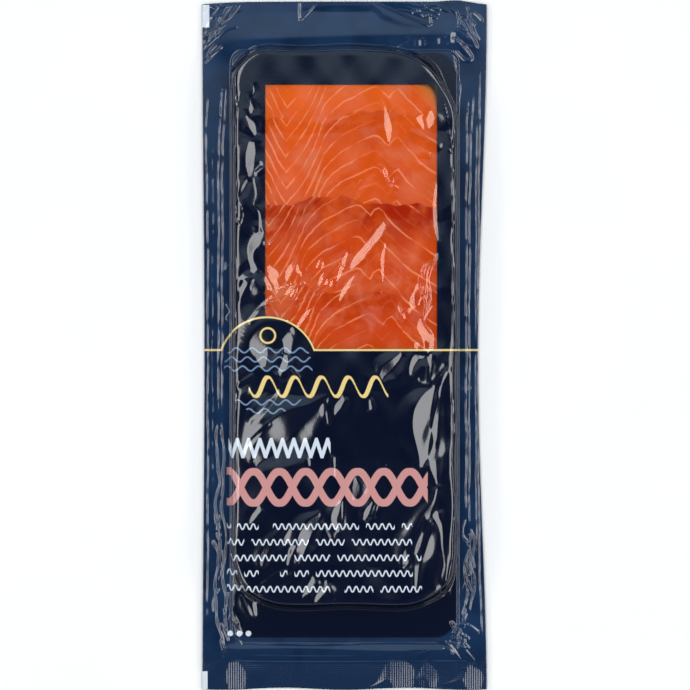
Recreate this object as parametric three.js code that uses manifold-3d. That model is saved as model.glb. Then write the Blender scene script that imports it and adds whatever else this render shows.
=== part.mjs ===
// A flat vacuum pack of sliced smoked salmon, lying on its back with the printed side up.
//
// Seven slices are laid like roof tiles on a thin gold card, each lower edge on top of the next
// slice. The card lies on a plain back film. A printed front film clings to the slices and the
// card, and is sealed to the back film in a flat flange all round. A clear window in the front
// film shows the upper slices.
//
// Millimetres. X runs across the pack, Y along it towards its top end, Z up off the ground.
// The origin is on the ground under the middle of the pack.

import * as THREE from "three";
import { mergeVertices } from "three/addons/utils/BufferGeometryUtils.js";
import Module from "manifold-3d";

const wasm = await Module();
wasm.setup();

// ---- Driving dimensions --------------------------------------------------------------------

const PACK_LENGTH = 320;
const PACK_WIDTH = 132; // at the two ends
const LEFT_WAIST = 0.9; // how far each long cut edge draws in half way along
const RIGHT_WAIST = 4;
const WAIST_AT = -6; // where along the pack it is narrowest
const END_WARP = 12; // this much of either end follows its uneven cut edge
const TOP_EDGE_SET_BACK = 0.6; // the level stretch of the top edge, below its bump
const TOP_EDGE_DROOP = 1.3; // how far the top edge falls away at its two corners
const TOP_EDGE_BUMP = { at: 52, height: 0.9, width: 7 };
const BOTTOM_EDGE_RIPPLE = { height: 1, length: 9 };

const FILM = 0.35; // both films; the real ones are near 0.1
const GAP = 0.3; // kept between pieces that touch
const BOARD_THICKNESS = 0.9;
const SALMON_THICKNESS = 11;

// Outlines seen from above; corner radii go bottom left, bottom right, top left, top right.
const BOARD = { left: -51.8, right: 51.8, bottom: -135.8, top: 135.8, radii: [10, 10, 10, 10] };
const SALMON = { left: -49.8, right: 49.8, bottom: -117, top: 133.6, radii: [26, 26, 20, 40] };
const CARD_COVER = { ...BOARD, radii: [5, 5, 5, 5] }; // the film spans the corners of both
const SALMON_COVER = { ...SALMON, radii: [23, 23, 16, 33] };

const SLICES = 7;
const SLICE_PITCH = 40; // between the showing edges of two slices
const FIRST_EDGE = 105.5; // lower edge of the top slice
const SLICE_RUN = 120; // from a slice's showing edge to where its underside meets the card
const SLICE_LIP = 0.9; // how far each showing edge stands above the next slice
const SLICE_BUTT = 0.4; // thickness at its hidden end
const SLICE_DIP = 0.5; // run over which a slice's top dips under the slice above
const SALMON_RIM = 1.5; // upright side of the pile before it rounds over
const SHOULDER = 8.5; // width of the rounded side

// The lower edge of each slice wanders in two waves, which turn on from one slice to the next.
const WANDER = [
  { height: 2.2, length: 15, turn: 1.9 },
  { height: 1.1, length: 6.5, turn: 2.7 },
];
const WANDER_FADE = [44, 52]; // they die out between these distances from the middle
const END_OF_WANDER = { top: 118, bottom: -106 }; // grid rows run straight beyond these

// Low swells in the top of the pile, and the uneven lift of the flange's rim.
const SWELL = { height: 0.3, across: 19, along: 27, leadX: 0.7, leadY: 0 };
const LIFT_WAVE = { mean: 0.6, height: 0.4, across: 25, along: 29, leadX: 1, leadY: 0.4 };

const FILM_STANDOFF = 1.5; // how far outside the pile the front film starts to climb it
const FILM_LIFT = 0.55; // front film above the slices
const FILM_BRIDGE = 5; // the film spans this far down from each slice's edge
const CARD_RAMP = 3; // width over which the film comes down off the card's edge
const CARD_TOUCH = 0.4; // where that slope ends, outside the card

const FLANGE_CURL = 2; // how high the outer rim of the flange lifts off the ground
const CURL_WIDTH = 12;

const PLEAT_AT = 57.5; // the double crease along each long side
const PLEAT_SPACING = 0.9; // from its furrow to either ridge
const PLEAT_FOOT = 2;
const PLEAT_HEIGHT = 0.8;
const FURROW_HEIGHT = 0.25;
const PLEAT_TOP = 146;
const PLEAT_BOTTOM = -136;
const PLEAT_FADE = 8; // run over which it dies out at both ends
const PLEAT_WAVE = { mean: 0.8, height: 0.2, length: 13 };

const END_FOLDS = [-143.6, -139]; // folds across the pack, above the bottom seal
const END_FOLD_HEIGHT = 0.6;
const END_FOLD_WIDTH = 1.6; // from its crest to its foot
const END_FOLD_FADE = [52, 62]; // folds and roll die out between these distances from the middle
const TOP_ROLL_AT = 147; // soft roll of loose film above the card
const TOP_ROLL_HEIGHT = 0.7;
const TOP_ROLL_WIDTH = 6;

const WINDOW = { left: -36.6, right: 42.6, bottom: -1.8, top: 121.1 };
const ARCH = { x: -35.6, y: -10.2, radius: 23.5 }; // round panel that cuts the window's corner

const CURVE_SEGMENTS = 8; // straight steps in each rounded corner of a card, pile or window
const CUT_CLEARANCE = 5; // cutting shapes reach this far past what they cut

// ---- Heights worked out from them ----------------------------------------------------------

const BOARD_BOTTOM = FILM + GAP;
const BOARD_TOP = BOARD_BOTTOM + BOARD_THICKNESS;
const SALMON_BOTTOM = BOARD_TOP + GAP;
const SALMON_TOP = SALMON_BOTTOM + SALMON_THICKNESS;
const COVER = BOARD_TOP + GAP; // underside of the front film where it lies on the card
const BED_START = SALMON_TOP - SLICE_LIP - GAP; // underside of a slice at its showing edge
const SLICE_SLOPE = (BED_START - SALMON_BOTTOM) / SLICE_RUN;
const LID = SALMON_TOP + CUT_CLEARANCE; // above everything
const HALF_LENGTH = PACK_LENGTH / 2;
const HALF_WIDTH = PACK_WIDTH / 2;

// ---- Small helpers -------------------------------------------------------------------------

const { clamp, smoothstep, lerp } = THREE.MathUtils;

/** How far (x, y) lies inside a rounded rectangle; negative outside it. */
function depthInside(x, y, { left, right, bottom, top, radii }) {
  const fromMiddleX = x - (left + right) / 2;
  const fromMiddleY = y - (bottom + top) / 2;
  const radius = radii[(fromMiddleX > 0 ? 1 : 0) + (fromMiddleY > 0 ? 2 : 0)];
  const overX = Math.abs(fromMiddleX) - (right - left) / 2 + radius;
  const overY = Math.abs(fromMiddleY) - (top - bottom) / 2 + radius;
  const corner = Math.hypot(Math.max(overX, 0), Math.max(overY, 0));
  return radius - corner - Math.min(Math.max(overX, overY), 0);
}

/** A rounded rectangle as a three.js shape. */
function roundedShape({ left, right, bottom, top, radii }) {
  const [bottomLeft, bottomRight, topLeft, topRight] = radii;
  const quarter = Math.PI / 2;
  return new THREE.Shape()
    .moveTo(left + bottomLeft, bottom)
    .lineTo(right - bottomRight, bottom)
    .absarc(right - bottomRight, bottom + bottomRight, bottomRight, -quarter, 0)
    .lineTo(right, top - topRight)
    .absarc(right - topRight, top - topRight, topRight, 0, quarter)
    .lineTo(left + topLeft, top)
    .absarc(left + topLeft, top - topLeft, topLeft, quarter, 2 * quarter)
    .lineTo(left, bottom + bottomLeft)
    .absarc(left + bottomLeft, bottom + bottomLeft, bottomLeft, 2 * quarter, 3 * quarter);
}

/** A shape pulled up from one height to another. */
function slab(shape, from, to) {
  const settings = { depth: to - from, bevelEnabled: false, curveSegments: CURVE_SEGMENTS };
  return new THREE.ExtrudeGeometry(shape, settings).translate(0, 0, from);
}

/**
 * A closed sheet or block over a warped grid of columns u and rows v. place(u, v) gives the plan
 * position of a crossing, and under and over give the heights of the two faces there. A row may be
 * a number or an object, as long as these three understand it.
 */
function gridBlock(us, vs, place, under, over) {
  const columns = us.length;
  const rows = vs.length;
  const positions = [];
  for (const height of [under, over])
    for (const v of vs)
      for (const u of us) {
        const [x, y] = place(u, v);
        positions.push(x, y, height(x, y, v));
      }
  const indices = [];
  const at = (face, i, j) => (face * rows + j) * columns + i;
  const quad = (a, b, c, d) => indices.push(a, b, c, a, c, d);
  const right = columns - 1;
  const far = rows - 1;
  for (let i = 0; i < right; i++)
    for (let j = 0; j < far; j++) {
      quad(at(1, i, j), at(1, i + 1, j), at(1, i + 1, j + 1), at(1, i, j + 1));
      quad(at(0, i, j), at(0, i, j + 1), at(0, i + 1, j + 1), at(0, i + 1, j));
    }
  for (let i = 0; i < right; i++) {
    quad(at(0, i, 0), at(0, i + 1, 0), at(1, i + 1, 0), at(1, i, 0));
    quad(at(0, i + 1, far), at(0, i, far), at(1, i, far), at(1, i + 1, far));
  }
  for (let j = 0; j < far; j++) {
    quad(at(0, 0, j + 1), at(0, 0, j), at(1, 0, j), at(1, 0, j + 1));
    quad(at(0, right, j), at(0, right, j + 1), at(1, right, j + 1), at(1, right, j));
  }
  return new THREE.BufferGeometry()
    .setAttribute("position", new THREE.Float32BufferAttribute(positions, 3))
    .setIndex(indices);
}

/** A closed geometry as a solid that can be cut and joined. */
function solid(geometry) {
  const bare = geometry.clone();
  bare.deleteAttribute("normal");
  bare.deleteAttribute("uv");
  const merged = mergeVertices(bare, 1e-4);
  return new wasm.Manifold(
    new wasm.Mesh({
      numProp: 3,
      vertProperties: new Float32Array(merged.attributes.position.array),
      triVerts: new Uint32Array(merged.index.array),
    }),
  );
}

/** A solid back as a geometry with flat-shaded normals. */
function geometryOf(cut) {
  const mesh = cut.getMesh();
  const geometry = new THREE.BufferGeometry()
    .setAttribute("position", new THREE.BufferAttribute(mesh.vertProperties, 3))
    .setIndex(new THREE.BufferAttribute(mesh.triVerts, 1));
  geometry.computeVertexNormals();
  return geometry;
}

/** The same distances on both sides of the middle, in rising order. */
function mirrored(distances) {
  return [...distances.map((d) => -d), ...distances.slice(0, -1).reverse()];
}

/** Evenly spaced values from one number to another, both ends included. */
function spread(from, to, count) {
  return Array.from({ length: count }, (_, i) => lerp(from, to, i / (count - 1)));
}

/** A low wave that swings between -1 and 1 across and along the pack. */
function quilt(x, y, { across, along, leadX, leadY }) {
  return Math.sin(x / across + leadX) * Math.cos(y / along + leadY);
}

// ---- Plan of the slices --------------------------------------------------------------------

/** Where the lower edge of slice k lies along the pack; the last slice ends the pile. */
function edgeAt(k) {
  return FIRST_EDGE - k * SLICE_PITCH;
}

/** How the lower edge of slice k wanders from a straight line. */
function edgeWander(x, k) {
  if (k < 0 || k > SLICES - 2) return 0;
  const waves = WANDER.map(({ height, length, turn }) => height * Math.sin(x / length + turn * k));
  const sum = waves.reduce((total, wave) => total + wave, 0);
  return sum * (1 - smoothstep(Math.abs(x), ...WANDER_FADE));
}

/** Shift along the pack that turns straight grid rows into the wandering slice edges. */
function rowShift(x, v) {
  const last = SLICES - 2;
  if (v > FIRST_EDGE) return edgeWander(x, 0) * (1 - smoothstep(v, FIRST_EDGE, END_OF_WANDER.top));
  if (v < edgeAt(last)) return edgeWander(x, last) * smoothstep(v, END_OF_WANDER.bottom, edgeAt(last));
  const place = (FIRST_EDGE - v) / SLICE_PITCH;
  const above = Math.min(Math.floor(place), last - 1);
  return lerp(edgeWander(x, above), edgeWander(x, above + 1), place - above);
}

/** Which slice shows at row v, and how far up its showing strip the row is, from 0 to 1. */
function showing(v) {
  const k = clamp(Math.ceil((FIRST_EDGE - v) / SLICE_PITCH), 0, SLICES - 1);
  return { k, up: clamp((v - edgeAt(k)) / SLICE_PITCH, 0, 1) };
}

// ---- Surfaces ------------------------------------------------------------------------------

/** Rounded rise from 0 at the rim to 1 at the shoulder's inner side. */
function rounding(depth, width) {
  return Math.sin((Math.PI / 2) * clamp(depth / width, 0, 1));
}

/** Low swells pressed down into the top of the pile. */
function swell(x, y) {
  return SWELL.height * (quilt(x, y, SWELL) - 1);
}

/** Top of slice k where it shows, and of the pile's rounded sides. */
function sliceTop(x, y, v, k) {
  const lip = SLICE_LIP * (1 - clamp((v - edgeAt(k)) / SLICE_PITCH, 0, 1));
  const round = rounding(depthInside(x, y, SALMON), SHOULDER);
  const body = SALMON_THICKNESS - SALMON_RIM - SLICE_LIP;
  return SALMON_BOTTOM + SALMON_RIM + (body + lip + swell(x, y)) * round;
}

/** Bed on which slice k lies: it starts at the slice's showing edge and slopes to the card. */
function sliceBed(x, y, k) {
  if (k === SLICES - 1) return SALMON_BOTTOM;
  const back = y - edgeAt(k) - edgeWander(x, k);
  return Math.max(SALMON_BOTTOM, BED_START - back * SLICE_SLOPE);
}

/** Height of the seam between the two films, out in the flange. */
function seam(x, y) {
  const outside = Math.max(0, -depthInside(x, y, BOARD));
  const lifted = 1 - Math.exp(-((outside / CURL_WIDTH) ** 2));
  const uneven = LIFT_WAVE.mean + LIFT_WAVE.height * quilt(x, y, LIFT_WAVE);
  return FILM + GAP / 2 + FLANGE_CURL * uneven * lifted;
}

/** The double crease along each long side: two ridges with a furrow between them. */
function pleat(x, y) {
  const fromFurrow = Math.abs(Math.abs(x) - PLEAT_AT);
  const ridge =
    fromFurrow < PLEAT_SPACING
      ? lerp(FURROW_HEIGHT, PLEAT_HEIGHT, fromFurrow / PLEAT_SPACING)
      : PLEAT_HEIGHT * (1 - smoothstep(fromFurrow, PLEAT_SPACING, PLEAT_FOOT));
  const fromEnd = Math.min(y - PLEAT_BOTTOM, PLEAT_TOP - y);
  const uneven = PLEAT_WAVE.mean + PLEAT_WAVE.height * Math.sin(y / PLEAT_WAVE.length);
  return ridge * uneven * smoothstep(fromEnd, 0, PLEAT_FADE);
}

/** Folds and rolls that run across the pack at its two ends. */
function endFolds(x, y) {
  const inward = 1 - smoothstep(Math.abs(x), ...END_FOLD_FADE);
  const crests = END_FOLDS.map((at) => Math.max(0, 1 - Math.abs(y - at) / END_FOLD_WIDTH));
  const fold = Math.max(...crests);
  const roll = Math.exp(-(((y - TOP_ROLL_AT) / TOP_ROLL_WIDTH) ** 2));
  return inward * (END_FOLD_HEIGHT * fold + TOP_ROLL_HEIGHT * roll);
}

/** Underside of the front film. */
function skin(x, y, v) {
  const flange = seam(x, y) + GAP / 2 + pleat(x, y) + endFolds(x, y);
  const onCard = smoothstep(depthInside(x, y, CARD_COVER), -CARD_RAMP, -CARD_TOUCH);
  const ground = lerp(flange, COVER, onCard);
  const { k, up } = showing(v);
  const bridge = k === 0 ? 0 : 1 - (edgeAt(k - 1) - v) / FILM_BRIDGE;
  const lip = SLICE_LIP * Math.max(1 - up, bridge);
  const inside = depthInside(x, y, SALMON_COVER) + FILM_STANDOFF;
  const climb = rounding(inside, SHOULDER + FILM_STANDOFF);
  return ground + (SALMON_THICKNESS - SLICE_LIP + FILM_LIFT + lip + swell(x, y)) * climb;
}

// ---- Grids ---------------------------------------------------------------------------------

/** Plan position on a film: the rim of the grid is drawn in to the cut edge of the pack. */
function onFilm(u, v) {
  const waist = Math.cos((Math.PI * (v - WAIST_AT)) / PACK_LENGTH) ** 2;
  const atSide = smoothstep(Math.abs(u), PLEAT_AT, HALF_WIDTH);
  const x = u + atSide * (u < 0 ? LEFT_WAIST : -RIGHT_WAIST) * waist;
  const droop = TOP_EDGE_SET_BACK + TOP_EDGE_DROOP * Math.abs(u / HALF_WIDTH) ** 6;
  const { at, height, width } = TOP_EDGE_BUMP;
  const bump = height * Math.exp(-(((u - at) / width) ** 2));
  const ripple = BOTTOM_EDGE_RIPPLE.height * (0.5 - 0.5 * Math.cos(u / BOTTOM_EDGE_RIPPLE.length));
  const inset = v > 0 ? bump - droop : ripple;
  const atEnd = smoothstep(Math.abs(v), HALF_LENGTH - END_WARP, HALF_LENGTH);
  return [x, v + atEnd * inset + rowShift(x, v)];
}

const fromRim = [-FILM_STANDOFF, 0.6, 3, 6, 10, 15, 20, 25.5]; // grid lines inside the pile's rim
const roundedPart = 6; // the first of them, down to where the pile is level
const midStrip = 17; // grid line above a slice's edge, half way to the next

const filmColumns = mirrored([
  HALF_WIDTH,
  61.5,
  PLEAT_AT + PLEAT_FOOT,
  PLEAT_AT + PLEAT_SPACING,
  PLEAT_AT,
  PLEAT_AT - PLEAT_SPACING,
  PLEAT_AT - PLEAT_FOOT,
  BOARD.right + 0.5,
  ...fromRim.map((d) => SALMON.right - d),
  13,
  0,
]);

const filmRows = [
  ...[-HALF_LENGTH, -150, -146, END_FOLDS[0], -141.3, END_FOLDS[1], -137.2],
  ...[BOARD.bottom - 0.4, -127],
  ...fromRim.slice(0, roundedPart).map((d) => SALMON.bottom + d),
  ...spread(SLICES - 2, 1, SLICES - 2).flatMap((k) =>
    [-FILM_BRIDGE, 0, midStrip].map((step) => edgeAt(k) + step),
  ),
  ...[FIRST_EDGE - FILM_BRIDGE, FIRST_EDGE],
  ...fromRim.map((d) => SALMON.top - d).reverse(),
  BOARD.top + 0.5,
  ...[139, 143, TOP_ROLL_AT, 151, 155.5, HALF_LENGTH],
];

const sliceColumns = mirrored([SALMON.right, 48.6, 46.4, 43.6, 40, 34, 27, 18, 9, 0]);

const backColumns = mirrored([HALF_WIDTH, 63, 59.5, 55.5, BOARD.right, 26, 0]);
const backRows = [
  ...[-HALF_LENGTH, -154, -148, -142, BOARD.bottom],
  ...spread(-123, 123, 21),
  ...[BOARD.top, 142, 148, 154, HALF_LENGTH],
];

// ---- Pieces --------------------------------------------------------------------------------

/** The plain film under the card, flat on the ground inside the flange. */
function backFilm() {
  const under = (x, y) => seam(x, y) - GAP / 2 - FILM;
  const over = (x, y) => under(x, y) + FILM;
  return gridBlock(backColumns, backRows, onFilm, under, over);
}

/** The gold card that carries the slices. */
function board() {
  return slab(roundedShape(BOARD), BOARD_BOTTOM, BOARD_TOP);
}

const shoulderRows = [0, 1.5, 3.6, 6]; // over a rounded end of the pile, in from its rim
const SHOWING_ROWS = 5; // over the showing strip of a slice
const END_SHOWING_ROWS = 4; // and of the first and last slice
const HIDDEN_ROW_STEP = 24;

/** Grid rows over slice k, closer where it rounds over at an end of the pile. */
function sliceRows(low, coveredFrom, high) {
  const atLowEnd = low === SALMON.bottom;
  const atHighEnd = high === SALMON.top;
  const from = atLowEnd ? low + SHOULDER : low;
  const to = atHighEnd ? high - SHOULDER : high;
  const turn = Math.min(coveredFrom, to);
  return [
    ...(atLowEnd ? shoulderRows.map((d) => low + d) : []),
    ...spread(from, turn, atLowEnd || atHighEnd ? END_SHOWING_ROWS : SHOWING_ROWS),
    ...(to > turn ? spread(turn, to, Math.ceil((to - turn) / HIDDEN_ROW_STEP) + 1).slice(1) : []),
    ...(atHighEnd ? shoulderRows.map((d) => high - d).reverse() : []),
  ];
}

/** Slice k: a leaf between its own bed and the bed of the slice above, rounded at its sides. */
function slice(k) {
  const low = k === SLICES - 1 ? SALMON.bottom : edgeAt(k);
  const coveredFrom = k === 0 ? SALMON.top : edgeAt(k - 1);
  const buttAt = coveredFrom + SLICE_RUN - (GAP + SLICE_BUTT) / SLICE_SLOPE;
  const high = Math.min(SALMON.top, buttAt);
  const pile = gridBlock(
    sliceColumns,
    sliceRows(low, coveredFrom, high),
    (u, v) => [u, v + rowShift(u, v)],
    () => SALMON_BOTTOM - CUT_CLEARANCE,
    (x, y, v) => sliceTop(x, y, v, k),
  );
  const clearFrom = coveredFrom - GAP;
  const leafRows = [
    { at: low, follows: k, open: true },
    { at: clearFrom - SLICE_DIP, follows: k - 1, open: true },
    { at: clearFrom, follows: k - 1, open: k === 0 },
    { at: edgeAt(k) + SLICE_RUN, follows: k, open: false },
  ];
  const leaf = gridBlock(
    sliceColumns,
    [...leafRows.filter((row) => row.at < high), { at: high, follows: k - 1, open: k === 0 }],
    (u, row) => [u, row.at + edgeWander(u, row.follows)],
    (x, y) => sliceBed(x, y, k),
    (x, y, row) => (row.open ? LID : sliceBed(x, y, k - 1) - GAP),
  );
  const outline = slab(roundedShape(SALMON), 0, LID);
  return geometryOf(solid(pile).intersect(solid(leaf)).intersect(solid(outline)));
}

/** The window's outline, drawn in or out by a margin. */
function windowShape(margin) {
  const radius = ARCH.radius - margin;
  const left = WINDOW.left - margin;
  const bottom = WINDOW.bottom - margin;
  const start = Math.asin((bottom - ARCH.y) / radius);
  const end = Math.acos((left - ARCH.x) / radius);
  return new THREE.Shape()
    .moveTo(WINDOW.right + margin, bottom)
    .lineTo(WINDOW.right + margin, WINDOW.top + margin)
    .lineTo(left, WINDOW.top + margin)
    .absarc(ARCH.x, ARCH.y, radius, end, start, true);
}

/** The front film, cut in two along the window's outline. */
function frontFilms() {
  const over = (x, y, v) => skin(x, y, v) + FILM;
  const whole = solid(gridBlock(filmColumns, filmRows, onFilm, skin, over));
  const cutter = (margin) => solid(slab(windowShape(margin), 0, LID));
  return {
    printed: geometryOf(whole.subtract(cutter(GAP / 2))),
    clear: geometryOf(whole.intersect(cutter(-GAP / 2))),
  };
}

// ---- The model -----------------------------------------------------------------------------

const finishes = {
  navyFilm: { color: 0x1c3555, roughness: 0.2, metalness: 0 },
  clearFilm: { color: 0xe9b7a2, roughness: 0.08, metalness: 0 },
  goldCard: { color: 0xb58a3c, roughness: 0.35, metalness: 0.6 },
  salmon: { color: 0xd4571f, roughness: 0.35, metalness: 0 },
};

/** One named piece with its finish. */
function piece(name, geometry, finish) {
  const mesh = new THREE.Mesh(geometry, new THREE.MeshStandardMaterial(finish));
  mesh.name = name;
  return mesh;
}

const { printed, clear } = frontFilms();
const pack = new THREE.Group();
pack.name = "salmon_pack";
pack.add(piece("back_film", backFilm(), finishes.navyFilm));
pack.add(piece("board", board(), finishes.goldCard));
for (let k = 0; k < SLICES; k++)
  pack.add(piece(`salmon_slice_${k + 1}`, slice(k), finishes.salmon));
pack.add(piece("printed_film", printed, finishes.navyFilm));
pack.add(piece("window_film", clear, finishes.clearFilm));

export default pack;
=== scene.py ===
"""Vacuum pack of sliced smoked salmon: the looks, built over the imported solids.

Seven slices lie like roof tiles on a gold card between two welded films. The front film is one
sheet in four fields: the sealed rim, the printed label, the surround of the window and the clear
window itself. All of them share one grid and one height function, so their borders meet exactly.

Sizes are in millimetres and become metres when a mesh is made. X runs across the pack, Y along it
towards the end with the window, Z up off the ground.
"""

import logging
import math
from dataclasses import dataclass, field, replace
from enum import Enum
from typing import Any, Mapping, Sequence

import bmesh
import bpy
import numpy as np
from mathutils import Matrix
from numpy.typing import NDArray


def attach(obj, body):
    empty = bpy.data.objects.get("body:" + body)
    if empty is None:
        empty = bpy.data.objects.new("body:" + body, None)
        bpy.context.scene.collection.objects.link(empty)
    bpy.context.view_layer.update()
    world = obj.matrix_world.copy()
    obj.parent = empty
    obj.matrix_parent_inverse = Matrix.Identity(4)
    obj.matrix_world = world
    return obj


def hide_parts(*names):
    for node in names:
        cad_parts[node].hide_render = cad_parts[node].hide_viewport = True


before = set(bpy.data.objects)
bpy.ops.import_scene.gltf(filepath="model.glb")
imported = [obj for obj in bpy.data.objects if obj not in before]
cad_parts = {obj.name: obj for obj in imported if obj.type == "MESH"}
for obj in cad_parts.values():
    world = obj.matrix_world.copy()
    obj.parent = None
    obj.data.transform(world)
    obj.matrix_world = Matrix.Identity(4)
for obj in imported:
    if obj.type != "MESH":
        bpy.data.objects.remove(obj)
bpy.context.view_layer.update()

Grid = NDArray[np.float64]
Pair = tuple[float, float]
Row = tuple[float, ...]
Run = tuple[Row, ...]  # points of a drawn line
Place = tuple[float, float, float]
Socket = bpy.types.NodeSocket
Piece = bpy.types.Object

METRES = 0.001  # one millimetre
BODY = "root"
FLAKE = "flake"  # attribute that carries the fat lines' coordinates, and the painted shade in its third value
CROSSING = "crossing"  # attribute that numbers the grid's crossings
PATCH_MARGIN = 2.0  # a fold is measured on a part of the grid this much wider than its reach

log = logging.getLogger("salmon_pack")


# ---- Numbers -------------------------------------------------------------------------------


def linear(colour: str) -> tuple[float, float, float, float]:
    """Turn an sRGB hex colour into linear light.

    Args:
        colour: six hex digits.

    Returns:
        Red, green, blue and an alpha of 1.
    """
    parts = [int(colour[i : i + 2], 16) / 255 for i in (0, 2, 4)]
    light = [p / 12.92 if p <= 0.04045 else ((p + 0.055) / 1.055) ** 2.4 for p in parts]
    return (light[0], light[1], light[2], 1.0)


def smooth(value: Grid, low: float, high: float) -> Grid:
    """Smooth step from 0 at low to 1 at high."""
    t = np.clip((value - low) / (high - low), 0.0, 1.0)
    return t * t * (3 - 2 * t)


def between(value: Grid, up: float, full: float, fade: float, gone: float) -> Grid:
    """1 from full to fade, with soft ends that start at up and stop at gone."""
    return smooth(value, up, full) * (1 - smooth(value, fade, gone))


def spans(*stops: float, step: float | Sequence[float]) -> Grid:
    """Rising grid lines that hit every stop.

    Args:
        stops: values that must be on the grid.
        step: widest gap between lines, or one for each stretch between stops.

    Returns:
        All grid lines.
    """
    steps = [step] * (len(stops) - 1) if isinstance(step, (int, float)) else list(step)
    lines = [np.array(stops[:1])]
    for low, high, widest in zip(stops, stops[1:], steps):
        count = max(1, math.ceil((high - low) / widest - 1e-9))
        lines.append(np.linspace(low, high, count + 1)[1:])
    return np.concatenate(lines)


@dataclass(frozen=True)
class Outline:
    """A rounded rectangle; its corner radii go bottom left, bottom right, top left, top right."""

    left: float
    right: float
    bottom: float
    top: float
    radii: tuple[float, float, float, float] = (0, 0, 0, 0)

    def depth(self, x: Grid, y: Grid) -> Grid:
        """How far each point lies inside the outline; negative outside it.

        Args:
            x, y: places across and along the pack.

        Returns:
            The depth at each point.
        """
        from_x = x - (self.left + self.right) / 2
        from_y = y - (self.bottom + self.top) / 2
        low = np.where(from_x > 0, self.radii[1], self.radii[0])
        high = np.where(from_x > 0, self.radii[3], self.radii[2])
        radius = np.where(from_y > 0, high, low)
        over_x = np.abs(from_x) - (self.right - self.left) / 2 + radius
        over_y = np.abs(from_y) - (self.top - self.bottom) / 2 + radius
        corner = np.hypot(np.maximum(over_x, 0), np.maximum(over_y, 0))
        return radius - corner - np.minimum(np.maximum(over_x, over_y), 0)

    def holds(self, place: Any) -> bool:
        """True if a point lies inside the plain rectangle."""
        return self.left < place[0] < self.right and self.bottom < place[1] < self.top


@dataclass(frozen=True)
class Wave:
    """A low quilted wave across and along the pack."""

    mean: float
    height: float
    across: float
    along: float
    lead_x: float = 0.0
    lead_y: float = 0.0

    def at(self, x: Grid, y: Grid) -> Grid:
        """Mean plus swing at each point."""
        swing = np.sin(x / self.across + self.lead_x) * np.cos(y / self.along + self.lead_y)
        return self.mean + self.height * swing


@dataclass(frozen=True)
class Roll:
    """A soft roll of loose film across a line, or a dip where its height is negative."""

    height: float
    at: float
    width: float

    def over(self, place: Grid, shift: Grid | float = 0.0) -> Grid:
        """Height of the roll, which is shifted by this much."""
        return self.height * np.exp(-(((place - self.at - shift) / self.width) ** 2))


# ---- The form of the pack ------------------------------------------------------------------


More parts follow.
